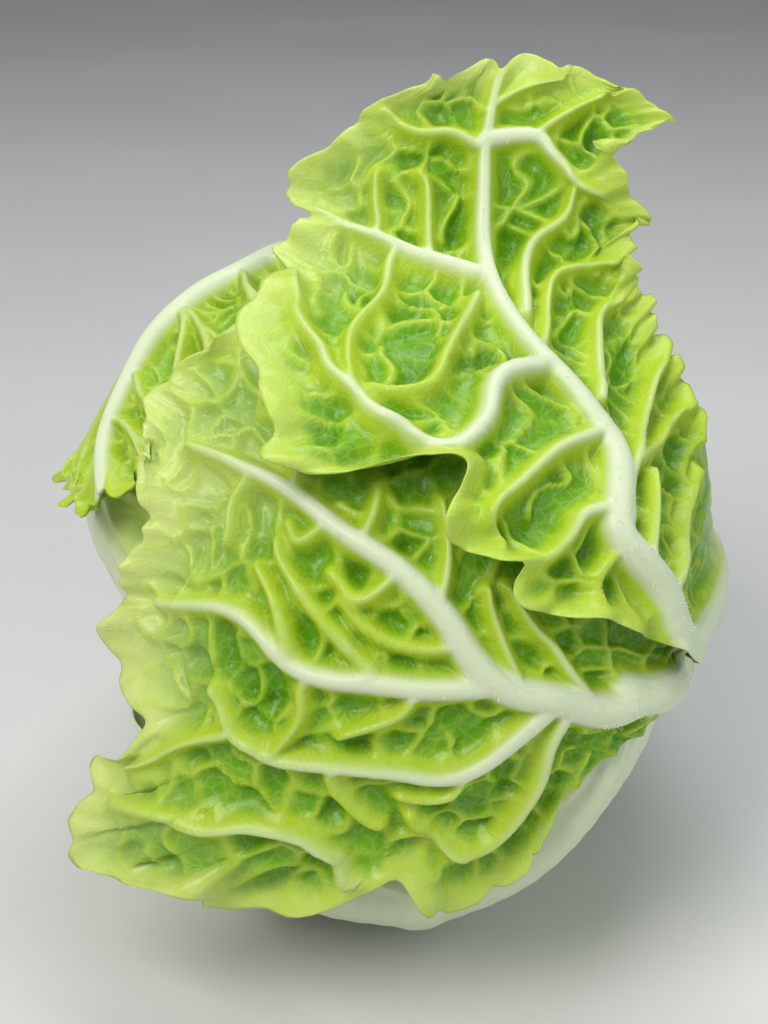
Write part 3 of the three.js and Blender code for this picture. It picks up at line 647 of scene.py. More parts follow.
LOWER_VEINS = (
    Vein(4.4, 0.7, (
        (0.333, 0.09), (0.371, -0.04), (0.449, -0.01), (0.546, -0.01), (0.612, 0.01), (0.667, 0.01), (0.724, -0.01),
        (0.782, -0.01), (0.850, 0.01), (0.890, -0.01), (0.922, -0.04), (0.947, -0.11),
    )),
    Vein(1.2, 0.5, ((0.388, -0.01), (0.481, 0.20), (0.529, 0.25), (0.599, 0.32))),
    Vein(0.9, 0.4, ((0.521, 0.03), (0.604, 0.16), (0.629, 0.23))),
    Vein(1.0, 0.4, ((0.669, 0.01), (0.697, 0.17), (0.737, 0.37))),
    Vein(0.9, 0.4, ((0.772, -0.01), (0.787, 0.16), (0.797, 0.25))),
    Vein(0.9, 0.4, ((0.850, 0.01), (0.860, 0.14), (0.877, 0.32), (0.902, 0.42))),
    Vein(2.5, 1.0, (
        (0.546, -0.01), (0.629, -0.17), (0.684, -0.28), (0.724, -0.33), (0.777, -0.37), (0.805, -0.50),
        (0.820, -0.78),
    )),
    Vein(1.0, 0.4, ((0.647, -0.20), (0.739, -0.22), (0.805, -0.20), (0.825, -0.17))),
    Vein(1.0, 0.4, ((0.724, -0.33), (0.779, -0.28), (0.815, -0.27))),
    Vein(2.0, 0.8, (
        (0.449, -0.01), (0.469, -0.19), (0.494, -0.33), (0.551, -0.34), (0.599, -0.39), (0.642, -0.48),
        (0.692, -0.54), (0.744, -0.56),
    )),
    Vein(1.4, 0.6, ((0.426, -0.07), (0.426, -0.21), (0.414, -0.44), (0.426, -0.69), (0.461, -0.76), (0.506, -0.52))),
    Vein(1.4, 0.7, ((0.499, -0.89), (0.526, -0.70), (0.581, -0.64), (0.607, -0.71), (0.639, -0.79), (0.657, -0.93))),
    Vein(0.8, 0.4, ((0.612, 0.01), (0.657, -0.11), (0.704, -0.16), (0.742, -0.16))),
    Vein(0.8, 0.4, ((0.724, -0.01), (0.729, -0.13), (0.769, -0.13))),
    Vein(0.8, 0.4, ((0.599, -0.39), (0.569, -0.46), (0.519, -0.56))),
    Vein(0.8, 0.4, ((0.692, -0.54), (0.704, -0.72), (0.687, -0.88))),
    Vein(0.8, 0.4, ((0.494, -0.33), (0.491, -0.44), (0.531, -0.42))),
    Vein(0.8, 0.4, ((0.694, -0.34), (0.664, -0.38), (0.642, -0.48))),
    Vein(0.8, 0.4, ((0.614, -0.14), (0.602, -0.21), (0.622, -0.33))),
    Vein(0.8, 0.4, ((0.890, -0.01), (0.882, -0.21), (0.855, -0.33))),
    Vein(0.8, 0.4, ((0.807, 0.01), (0.810, -0.12), (0.832, -0.10))),
)


def side_veins(first: float, last: float, pairs: int, rise: float, width: float) -> tuple[Vein, ...]:
    """Pairs of side veins that leave the rib, bend towards the tip and fork halfway.

    At the distance x from the rib a vein is at start + lift x^1.4 + step sin(5 x + turn) / 4, where turn, lift and
    start differ a little from vein to vein. The fork runs back towards the leaf's base.

    Args:
        first, last: where along the rib the first and last pair start.
        pairs: how many pairs.
        rise: how far up the leaf a vein has come at the margin.
        width: half-width of a vein at the rib.

    Returns:
        The veins and their forks.
    """
    out = []
    step = (last - first) / max(pairs - 1, 1)
    for k, middle in enumerate(np.linspace(first, last, pairs)):
        for side in (-1.0, 1.0):
            turn = 2.4 * k + 1.7 * side
            lift = rise * (1 + 0.45 * math.sin(1.9 * turn))
            start = middle + step * (0.3 * side + 0.25 * math.sin(turn))
            fork = 0.45 + 0.15 * math.sin(3.1 * turn)
            stem = (width * (1 - 0.35 * k / pairs), np.linspace(0.0, 1.0, 7), 0.0)
            branch = (0.5 * width, np.linspace(fork, 1.0, 5), 0.75 * step)
            for thick, reach, back in (stem, branch):
                bent = start + lift * reach**1.4 + 0.25 * step * np.sin(5 * reach + turn)
                bent = np.minimum(bent - back * (reach - fork) / (1 - fork), VEIN_END)
                path = tuple((float(u), float(side * x)) for u, x in zip(bent, reach))
                out.append(Vein(thick, 0.4 * width, path))
    return tuple(out)


def spine(start: float, end: float) -> Vein:
    """A straight midrib from base to tip with these half-widths."""
    return Vein(start, end, tuple((float(x), 0.0) for x in np.linspace(0.0, VEIN_END, 24)))


@dataclass(frozen=True)
class Patch:
    """A bell round (u, v) with these spreads: a darker (above 0) or paler (below 0) part of a leaf, or a ruffle."""

    u: float
    v: float
    along: float
    across: float
    value: float

    def over(self, u: np.ndarray, v: np.ndarray) -> np.ndarray:
        """The bell's values at places along and across: value exp(-(du / along)^2 - (dv / across)^2)."""
        bell = -(((u[:, None] - self.u) / self.along) ** 2) - ((v[None, :] - self.v) / self.across) ** 2
        return self.value * np.exp(bell)


@dataclass
class Leaf:
    """One leaf as it is shown: a fine grid over its form, with veins, pockets, frills and the masks for its colour.

    In millimetres, pocket, net, blister and wrinkle are how deep or high these go, slope is how far a pocket's side
    reaches, and cell is the width of the net's meshes. Air stays free over the leaf below, room is the depth that
    pockets want over it, and rim is how far the margin's own shape reaches in. Loose gives the least heights between
    which a leaf goes from lying on the head to standing free, and table is how low it may hang. Crinkle is a share of
    half the leaf's width. Grooves is how many there are across the stalk. Stalk_to and margin_from are places along
    the leaf, as the ends of a smooth step. Tone and patches shade it, and fade pales its margins.
    """

    form: Form
    slot: str
    rows: int
    columns: int
    veins: tuple[Vein, ...]
    pocket: float = 4.0
    slope: float = 1.9
    net: float = 2.6
    blister: float = 1.9
    wrinkle: float = 0.7
    cell: float = 12.5
    air: float = 0.5
    room: float = 4.5
    rim: float = 9.0
    loose: tuple[float, float] = (5.0, 15.0)
    crinkle: float = 0.028
    grooves: int = 13
    groove_depth: float = 0.25
    stalk_to: tuple[float, float] = (0.16, 0.42)
    margin_from: tuple[float, float] = (0.25, 0.4)
    broad: bool = False
    tone: float = 0.0
    fade: float = 0.45
    patches: tuple[Patch, ...] = ()
    ruffles: tuple[Patch, ...] = ()
    table: float = 0.0
    seed: int = 1
    outer: np.ndarray = field(default_factory=lambda: np.zeros(0))
    normal: np.ndarray = field(default_factory=lambda: np.zeros(0))
    masks: dict[str, np.ndarray] = field(default_factory=dict)

    def places(self) -> tuple[np.ndarray, np.ndarray]:
        """The grid's places.

        Returns:
            Places along, wider apart on the leaf's base, and places across.
        """
        base = max(6, self.rows // 8)
        u = np.r_[np.linspace(0, BASE_END, base, endpoint=False), np.linspace(BASE_END, 1, self.rows - base)]
        return u, np.linspace(-1, 1, self.columns)

    def build(self, top: MapRaster) -> bpy.types.Object:
        """Works out the leaf's surface over what is already laid, raises top by it and makes the mesh.

        The height is ridge + lift + rib + crown - share (pocket pit + net) + waves, with pit = 1 - exp(-gap / slope),
        where gap is the way to the nearest vein's edge. The lift makes room for the pockets where the leaf lies close
        on another, and a soft maximum, (a + b + sqrt((a - b)^2 + 1)) / 2, keeps the height above what lies under it.
        All of it but the ridge stands along the leaf's own outward direction where the leaf is loose. Between the
        veins the margin bulges out by BULGE pit - DRAWN_IN, and the corners of the tip are rounded off.

        Args:
            top: heights of what is already laid.

        Returns:
            The leaf's object, a closed shell.
        """
        u, v = self.places()
        m, n, least = np.moveaxis(self.form.lay(u, v, self.crinkle), -1, 0)
        ridge = self.form.upsample(self.form.ridges, u, v)
        cover = self.form.upsample(self.form.cover, u, v)
        bare = np.clip(1 - cover, 0, 1)
        shown = np.clip(1 - 0.8 * cover, 0.15, 1)
        skin = HEAD.place(m, n, ridge)
        loose = (smooth(least, *self.loose) * bare)[..., None]
        outward = loose * grid_normals(skin) + (1 - loose) * (HEAD.place(m, n, ridge + 1) - skin)
        outward /= np.linalg.norm(outward, axis=-1)[..., None]
        blade = smooth(u, *self.stalk_to)[:, None] * np.ones_like(m)
        sides, tip = margin_bells(skin, self.rim)
        sides = sides * smooth(u, *self.margin_from)[:, None]
        edge = np.maximum(sides, tip)

        gap, white, crown = self.vein_field(skin, u, v)
        net, line = self.net_field(skin)
        pit = 1 - np.exp(-gap / self.slope)
        sunk = (self.pocket * pit + net * smooth(gap, 0.3, 3.5)) * (1 - 1.15 * edge**2)
        crown = crown * (1 - 0.5 * edge) * (0.4 + 0.6 * blade)
        rib = rib_height(u, v) * (1 - 0.75 * blade)
        groove = self.groove_depth * (1 - blade) * (0.5 + 0.5 * np.cos(2 * np.pi * self.grooves * v))[None, :]
        below = top.blurred(2)
        free = np.clip(ridge - below.values[below.index(m, n)], 0, self.room)
        lift = 0.7 * blade * bare * (self.room - free)
        height = ridge + lift + rib + crown - blade * shown * sunk - groove
        height = height + shown * self.margin_wave(u, v)
        floor = top.values[top.index(m, n)] + self.air
        height = 0.5 * (height + floor + np.sqrt((height - floor) ** 2 + 1.0)) - 0.25
        top.lift(m, n, height, 2)

        relief = 0.5 * (height - ridge + ring_mean(height - ridge))
        across = unit(np.gradient(skin, axis=1) * np.sign(v)[None, :, None])
        along = unit(np.gradient(skin, axis=0))
        lobes = (shown * (BULGE * ring_mean(pit) - DRAWN_IN - CORNERS * sides * tip))[..., None]
        self.outer = skin + outward * relief[..., None] + lobes * (sides[..., None] * across + tip[..., None] * along)
        self.outer[..., 2] = np.maximum(self.outer[..., 2], self.table)
        self.normal = grid_normals(self.outer)
        thick = BLADE * (1 - 0.45 * np.abs(v) ** 10) * np.ones_like(m) + 0.8 * rib
        inner = self.outer - outward * thick[..., None]
        inner[..., 2] = np.maximum(inner[..., 2], self.table + 0.5 * BLADE)
        self.masks = self.colour_masks(u, v, gap, ring_mean(white), line, blade, sunk, edge)
        return shell_object(self.form.name + "_look", self.outer, inner, self.masks)

    def margin_wave(self, u: np.ndarray, v: np.ndarray) -> np.ndarray:
        """Frills of the free margins: the form's own waves with rounder tops, calmed near the tip, and small ones.

        A wave's lift goes with sqrt((1 + sin(wave)) / 2), which is round on top and narrow below. The small ones grow
        with the fourth power of the distance from the rib. Ruffles are bells where the margin rolls up further.

        Args:
            u, v: places along and across.

        Returns:
            Lift in millimetres, u by v.
        """
        calm = 1 - 0.7 * smooth(u, 0.88, 1.0)[:, None]
        out = 0.85 * calm * np.sqrt(FRILL * self.form.free(u, v) * self.form.frill(u, v))
        edge = np.abs(v[None, :]) ** 4 * (smooth(u, 0.22, 0.42) * (1 - 0.8 * smooth(u, 0.86, 0.98)))[:, None]
        wave = self.form.wave(u, v, 1.0)
        small = SMALL_WAVES * np.sqrt(0.5 + 0.5 * np.sin(2.3 * wave)) - WAVES_DOWN
        out += edge * (small + RIPPLES * np.sin(4.6 * wave + 1.0))
        for ruffle in self.ruffles:
            out += ruffle.over(u, v) * (0.5 + 0.5 * np.sin(1.7 * wave + 1.5 * v))
        return out

    def vein_field(self, skin: np.ndarray, u: np.ndarray, v: np.ndarray) -> tuple[np.ndarray, np.ndarray, np.ndarray]:
        """Works out the veins on the leaf's skin.

        The way to a straight piece of a vein's spline is d and its half-width w. The edge is d - w away, the back is
        0.5 w (1 - (d / (w + 0.6))^2) high, and a broad vein is white where a thin one is only pale.

        Args:
            skin: the leaf's grid of points.
            u, v: its places along and across.

        Returns:
            The way to the nearest vein's edge, how white the veins are, and how far their round backs stand up.
        """
        starts, ends, widths = [], [], []
        for vein in self.veins:
            path = through(np.array(vein.path), np.linspace(0, len(vein.path) - 1, 4 * len(vein.path)))
            points = lookup(skin, u, v, path[:, 0], path[:, 1])
            starts.append(points[:-1])
            ends.append(points[1:])
            widths.append(np.linspace(vein.start, vein.end, len(points) - 1))
        a, b, w = np.concatenate(starts), np.concatenate(ends), np.concatenate(widths)
        flat = skin.reshape(-1, 3)
        out = np.empty((3, len(flat)))
        span = b - a
        length2 = np.maximum((span**2).sum(1), 1e-6)
        whiteness = 0.42 + 0.58 * smooth(w, 0.6, 2.2)
        for first in range(0, len(flat), VEIN_CHUNK):
            part = slice(first, first + VEIN_CHUNK)
            p = flat[part, None, :]
            t = np.clip(((p - a) * span).sum(-1) / length2, 0, 1)
            d = np.sqrt(((p - a - t[..., None] * span) ** 2).sum(-1))
            fade = np.clip((d - w + 0.3) / (0.8 + 0.35 * w), 0, 1)
            out[0, part] = np.maximum((d - w).min(1), 0)
            out[1, part] = (whiteness * (1 - fade**2 * (3 - 2 * fade))).max(1)
            out[2, part] = (0.5 * w * np.clip(1 - (d / (w + 0.6)) ** 2, 0, 1)).max(1)
        gap, white, crown = out.reshape(3, *skin.shape[:2])
        return gap, white, crown

    def net_field(self, skin: np.ndarray) -> tuple[np.ndarray, np.ndarray]:
        """Works out the fine net on the leaf's skin.

        The cells are those of seeds in a gently bent space, so no two are alike. The border between the two nearest
        seeds a and b is (|b|^2 - |a|^2) / (2 |b - a|) away. Each cell is a dimple or a blister of its own height, and
        each border has its own strength. Short sines wrinkle it all.

        Args:
            skin: the leaf's grid of points.

        Returns:
            How deep the tissue lies inside the net, in millimetres, and the net's thin lines from 0 to 1.
        """
        random = np.random.default_rng(self.seed)
        flat = skin.reshape(-1, 3)
        swings = random.normal(0, 1, (6, 3)) * (2 * np.pi / BEND_LENGTH)
        bend = np.sin(flat @ swings.T + random.uniform(0, 6, 6))
        bent = flat + BEND_SIZE * (bend[:, :3] + bend[:, 3:])
        order = random.permutation(len(bent))[:SEED_TRIES]
        kept = [bent[order[0]]]
        for candidate in bent[order[1:]]:
            if ((np.array(kept) - candidate) ** 2).sum(1).min() > (SEED_SPACING * self.cell) ** 2:
                kept.append(candidate)
        seeds = np.array(kept)
        swelling = random.uniform(-1.0, 0.55, len(seeds))
        border, dome, strength = np.empty(len(bent)), np.empty(len(bent)), np.empty(len(bent))
        for first in range(0, len(bent), NET_CHUNK):
            part = slice(first, first + NET_CHUNK)
            d2 = ((bent[part, None] - seeds) ** 2).sum(-1)
            two = np.argpartition(d2, 1, axis=1)[:, :2]
            pair = np.take_along_axis(d2, two, 1)
            nearest = two[np.arange(len(two)), pair.argmin(1)]
            apart = np.linalg.norm(seeds[two[:, 0]] - seeds[two[:, 1]], axis=1)
            border[part] = np.abs(pair[:, 1] - pair[:, 0]) / (2 * np.maximum(apart, 1e-3))
            dome[part] = swelling[nearest]
            strength[part] = np.abs(np.sin(12.9 * two.sum(1) + 7.8 * two.prod(1)))
        strength = 0.15 + 0.85 * smooth(strength, 0.05, 0.7)
        waves = random.normal(0, 1, (7, 3)) * (2 * np.pi / WRINKLE_LENGTH)
        wrinkle = np.sin(bent @ waves.T + random.uniform(0, 6, 7)).sum(1) / 7
        line = strength * np.exp(-(border**2))
        mesh = self.net * (1 - strength * np.exp(-((border / 1.8) ** 2)))
        depth = mesh - self.blister * dome * smooth(border, 0.0, 4.5) + self.wrinkle * wrinkle
        return depth.reshape(skin.shape[:2]), line.reshape(skin.shape[:2])

    def colour_masks(
        self,
        u: np.ndarray,
        v: np.ndarray,
        gap: np.ndarray,
        white: np.ndarray,
        line: np.ndarray,
        blade: np.ndarray,
        sunk: np.ndarray,
        edge: np.ndarray,
    ) -> dict[str, np.ndarray]:
        """Point masks for the materials: vein (white), halo (lime beside the veins), depth (the pockets' deeper green
        and painted shade) and tone.

        Args:
            u, v: places along and across.
            gap, white: the way to the nearest vein and how white the veins are.
            line: the net's thin lines.
            blade: where the leaf is blade and not stalk.
            sunk: how deep the tissue lies, in millimetres.
            edge: 1 on the free margins, and 0 away from them.

        Returns:
            The masks by attribute name.
        """
        side = 0.0 if self.broad else np.abs(v)[None, :] / rib_width(u)[:, None]
        stalk = (1 - smooth(side, 0.55, 1.0)) * (1 - blade)
        # Tone: the leaf's own darker and paler parts and its pale margins; on the lower face leaf one patch is a
        # painted shadow.
        tone = self.tone - self.fade * edge + sum(patch.over(u, v) for patch in self.patches)
        return {
            "vein": np.maximum(np.maximum(white, 0.2 * line) * (0.2 + 0.8 * blade), stalk),
            "halo": np.exp(-gap / 1.8) + 0.85 * line,
            # Depth: the pockets' deeper green, and painted shade that darkens them.
            "depth": np.clip(sunk / (self.pocket + self.net + 1e-6), 0, 1.5),
            "tone": tone,
        }


def lookup(values: np.ndarray, u: np.ndarray, v: np.ndarray, at_u: np.ndarray, at_v: np.ndarray) -> np.ndarray:
    """Values of a grid at free places, by straight interpolation both ways.

    Args:
        values: the grid, of points or numbers.
        u, v: its places along and across.
        at_u, at_v: the wanted places.

    Returns:
        One value for each wanted place.
    """
    x = np.interp(at_u, u, np.arange(len(u)))
    y = np.interp(at_v, v, np.arange(len(v)))
    i, j = np.minimum(x.astype(int), len(u) - 2), np.minimum(y.astype(int), len(v) - 2)
    p, q = (x - i)[:, None], (y - j)[:, None]
    low = values[i, j] * (1 - q) + values[i, j + 1] * q
    return low * (1 - p) + (values[i + 1, j] * (1 - q) + values[i + 1, j + 1] * q) * p


def margin_bells(skin: np.ndarray, width: float) -> tuple[np.ndarray, np.ndarray]:
    """Bells exp(-(way / width)^2) on the margins of a leaf, where way is the length along the grid to the margin.

    Args:
        skin: the leaf's grid of points.
        width: how far the bells reach in.

    Returns:
        The bell along the nearest side margin and the bell along the tip.
    """
    across = np.cumsum(np.linalg.norm(np.diff(skin, axis=1, prepend=skin[:, :1]), axis=-1), axis=1)
    along = np.cumsum(np.linalg.norm(np.diff(skin, axis=0, prepend=skin[:1]), axis=-1), axis=0)
    side = np.minimum(across, across[:, -1:] - across)
    return np.exp(-((side / width) ** 2)), np.exp(-(((along[-1:] - along) / width) ** 2))


def unit(vectors: np.ndarray) -> np.ndarray:
    """Vectors made one long."""
    return vectors / np.maximum(np.linalg.norm(vectors, axis=-1), 1e-9)[..., None]


def grid_normals(points: np.ndarray) -> np.ndarray:
    """Outward unit normals of a leaf's grid, by the cross product of its slopes across and along."""
    return unit(np.cross(np.gradient(points, axis=1), np.gradient(points, axis=0)))


def mesh_object(name: str, points: np.ndarray, faces: np.ndarray, masks: dict[str, np.ndarray]) -> bpy.types.Object:
    """Makes a smooth-shaded object of four-sided faces, with one number a point for every mask.

    Args:
        name: the object's name.
        points: vertices in millimetres, one a row.
        faces: vertex numbers, four a row.
        masks: point values by attribute name.

    Returns:
        The object, at the origin, in metres.
    """
    mesh = bpy.data.meshes.new(name)
    mesh.vertices.add(len(points))
    mesh.vertices.foreach_set("co", (points * MM).astype(np.float32).ravel())
    mesh.loops.add(faces.size)
    mesh.loops.foreach_set("vertex_index", faces.astype(np.int32).ravel())
    mesh.polygons.add(len(faces))
    mesh.polygons.foreach_set("loop_start", np.arange(0, faces.size, 4, dtype=np.int32))
    mesh.polygons.foreach_set("use_smooth", np.ones(len(faces), bool))
    mesh.update(calc_edges=True)
    for key, values in masks.items():
        layer = mesh.attributes.new(key, "FLOAT", "POINT")
        layer.data.foreach_set("value", values.astype(np.float32).ravel())
    made = bpy.data.objects.new(name, mesh)
    bpy.context.scene.collection.objects.link(made)
    return made


def shell_object(name: str, outer: np.ndarray, inner: np.ndarray, masks: dict[str, np.ndarray]) -> bpy.types.Object:
    """Closes two grids of one size into a shell and makes it an object.

    Args:
        name: the object's name.
        outer, inner: points of the two faces, rows by columns by 3.
        masks: one value for each point of a face, laid on both.

    Returns:
        The shell's object.
    """
    rows, columns = outer.shape[:2]
    number = np.arange(rows * columns).reshape(rows, columns)
    low = number + rows * columns
    a, b, c, d = number[:-1, :-1], number[:-1, 1:], number[1:, 1:], number[1:, :-1]
    faces = [np.stack([a, b, c, d], -1).reshape(-1, 4)]
    faces.append(faces[0][:, ::-1] + rows * columns)
    rims = (np.s_[:, 0], np.s_[::-1, -1], np.s_[0, ::-1], np.s_[-1])
    for line, under in ((number[rim], low[rim]) for rim in rims):
        faces.append(np.stack([line[:-1], line[1:], under[1:], under[:-1]], -1))
    points = np.concatenate([outer.reshape(-1, 3), inner.reshape(-1, 3)])
    both = {key: np.concatenate([values.ravel()] * 2) for key, values in masks.items()}
    return mesh_object(name, points, np.concatenate(faces), both)


@dataclass(frozen=True)
class Bristles:
    """Short stiff hairs along the ribs: thin three-sided spikes that stand on the leaf and lean at random."""

    count: int = 300
    length: float = 2.1
    radius: float = 0.1
    sunk: float = 0.2
    lean: float = 0.45
    least_white: float = 0.85
    seed: int = 5

    def build(self, leaves: list[Leaf]) -> bpy.types.Object:
        """Makes the spikes, with their feet at points of the leaves where the rib is white, drawn at random.

        Each spike is three points round its foot, radius (cos a, sin a), and one at foot + length times its
        direction.

        Args:
            leaves: the leaves that carry bristles, already built.

        Returns:
            One object with all spikes.
        """
        random = np.random.default_rng(self.seed)
        feet, normals = [], []
        for leaf in leaves:
            row = np.indices(leaf.outer.shape[:2])[0]
            mask = (leaf.masks["vein"] > self.least_white) & (row > leaf.rows * 0.2)
            chosen = random.choice(np.flatnonzero(mask), self.count // len(leaves), replace=False)
            feet.append(leaf.outer.reshape(-1, 3)[chosen])
            normals.append(leaf.normal.reshape(-1, 3)[chosen])
        foot, up = np.concatenate(feet), np.concatenate(normals)
        lean = unit(up + random.normal(0, self.lean, up.shape))
        askew = [0.3, 0.5, 0.81]
        side = unit(np.cross(lean, askew))
        other = np.cross(lean, side)
        tip = foot + self.length * random.uniform(0.45, 1.0, (len(foot), 1)) * lean
        ring = [
            foot - self.sunk * lean + self.radius * (math.cos(turn) * side + math.sin(turn) * other)
            for turn in (0, 2.1, 4.2)
        ]
        points = np.stack([*ring, tip], 1).reshape(-1, 3)
        first = 4 * np.arange(len(foot))[:, None]
        faces = np.concatenate([first + corners for corners in ([0, 1, 3], [1, 2, 3], [2, 0, 3], [0, 2, 1])])
        mesh = bpy.data.meshes.new("bristles")
        mesh.from_pydata((points * MM).tolist(), [], faces.tolist())
        mesh.update()
        made = bpy.data.objects.new("bristles", mesh)
        bpy.context.scene.collection.objects.link(made)
        return made


@dataclass(frozen=True)
class LeafFinish:
    """Colours of a leaf, as linear red, green and blue, with its gloss, the height of its bumps and its softness."""

    name: str
    rib: Vector3 = (0.62, 0.69, 0.47)
    lime: Vector3 = (0.40, 0.555, 0.022)
    # Green and dark colour the pockets by their depth: partly the tissue's own deeper green, partly painted shade.
    green: Vector3 = (0.11, 0.32, 0.001)
    dark: Vector3 = (0.025, 0.12, 0.001)
    pale: Vector3 = (0.56, 0.67, 0.21)
    roughness: float = 0.42
    coat: float = 0.2
    coat_roughness: float = 0.16
    specular: float = 0.22
    softness: float = 0.15
    soft_radius: Vector3 = (0.6, 1.0, 0.2)
    soft_scale: float = 0.0025
    bump_strength: float = 0.6
    bump_height: float = 0.0006

    def material(self) -> bpy.types.Material:
        """Builds the material.

        Returns:
            A Principled shader with the tissue group's colour, roughness and bump.
        """
        made = bpy.data.materials.new(self.name)
        made.use_nodes = True
        tree = made.node_tree
        shader = tree.nodes["Principled BSDF"]
        group = tree.nodes.new("ShaderNodeGroup")
        group.node_tree = tissue_group()
        colours = {"Rib": self.rib, "Lime": self.lime, "Green": self.green, "Dark": self.dark, "Pale": self.pale}
        for key, colour in colours.items():
            group.inputs[key].default_value = (*colour, 1.0)
        group.inputs["Gloss"].default_value = self.roughness
        for key in ("vein", "halo", "depth", "tone"):
            source = tree.nodes.new("ShaderNodeAttribute")
            source.attribute_name = key
            tree.links.new(source.outputs["Fac"], group.inputs[key.capitalize()])
        add_bump(tree, group.outputs["Height"], self.bump_strength, self.bump_height)
        tree.links.new(group.outputs["Color"], shader.inputs["Base Color"])
        tree.links.new(group.outputs["Roughness"], shader.inputs["Roughness"])
        shader.inputs["Coat Weight"].default_value = self.coat
        shader.inputs["Coat Roughness"].default_value = self.coat_roughness
        shader.inputs["Specular IOR Level"].default_value = self.specular
        shader.inputs["Subsurface Weight"].default_value = self.softness
        shader.inputs["Subsurface Radius"].default_value = self.soft_radius
        shader.inputs["Subsurface Scale"].default_value = self.soft_scale
        return made


def add_bump(tree: bpy.types.NodeTree, height: bpy.types.NodeSocket, strength: float, distance: float) -> None:
    """Bumps a material's Principled shader.

    Args:
        tree: the material's nodes.
        height: the socket that gives the height, from 0 to 1.
        strength: share of the bump that shows.
        distance: what a height of 1 stands for, in metres.
    """
    bump = tree.nodes.new("ShaderNodeBump")
    bump.inputs["Strength"].default_value = strength
    bump.inputs["Distance"].default_value = distance
    tree.links.new(height, bump.inputs["Height"])
    tree.links.new(bump.outputs["Normal"], tree.nodes["Principled BSDF"].inputs["Normal"])


Colour = bpy.types.NodeSocket | Vector3

# Leaf tissue: scale of its mottling, and the scale of the veinlets' cells and how far the mottling bends them, in
# metres. Half-width of a veinlet as a share of a cell.
MOTTLE_SCALE = 90.0
VEINLET_SCALE = 260.0
VEINLET_BEND = 0.012
VEINLET_WIDTH = 0.14


def mix_colour(
    tree: bpy.types.NodeTree, share: bpy.types.NodeSocket, low: Colour, high: Colour
) -> bpy.types.NodeSocket:
    """A colour that goes from low to high with share.

    Args:
        tree: the tree to add to.
        share: a socket from 0 to 1.
        low, high: the colours at both ends, as sockets or as linear red, green and blue.

    Returns:
        The mixed colour's socket.
    """
    node = tree.nodes.new("ShaderNodeMix")
    node.data_type = "RGBA"
    tree.links.new(share, node.inputs[0])
    for socket, value in ((node.inputs[6], low), (node.inputs[7], high)):
        if isinstance(value, bpy.types.NodeSocket):
            tree.links.new(value, socket)
        else:
            socket.default_value = (*value, 1.0)
    return node.outputs[2]


def maths(
    tree: bpy.types.NodeTree, kind: str, *values: bpy.types.NodeSocket | float, clamp: bool = False
) -> bpy.types.NodeSocket:
    """The result of a Math node.

    Args:
        tree: the tree to add to.
        kind: the node's operation.
        values: its inputs, as sockets or numbers.
        clamp: whether the result stays from 0 to 1.

    Returns:
        The result's socket.
    """
    node = tree.nodes.new("ShaderNodeMath")
    node.operation = kind
    node.use_clamp = clamp
    for socket, value in zip(node.inputs, values):
        if isinstance(value, bpy.types.NodeSocket):
            tree.links.new(value, socket)
        else:
            socket.default_value = value
    return node.outputs[0]


def ramp(tree: bpy.types.NodeTree, value: bpy.types.NodeSocket, low: float, high: float) -> bpy.types.NodeSocket:
    """A smooth step of a value from 0 at low to 1 at high.

    Args:
        tree: the tree to add to.
        value: the value's socket.
        low, high: where the step begins and ends.

    Returns:
        The step's socket.
    """
    node = tree.nodes.new("ShaderNodeMapRange")
    node.interpolation_type = "SMOOTHSTEP"
    tree.links.new(value, node.inputs["Value"])
    node.inputs["From Min"].default_value = low
    node.inputs["From Max"].default_value = high
    return node.outputs["Result"]


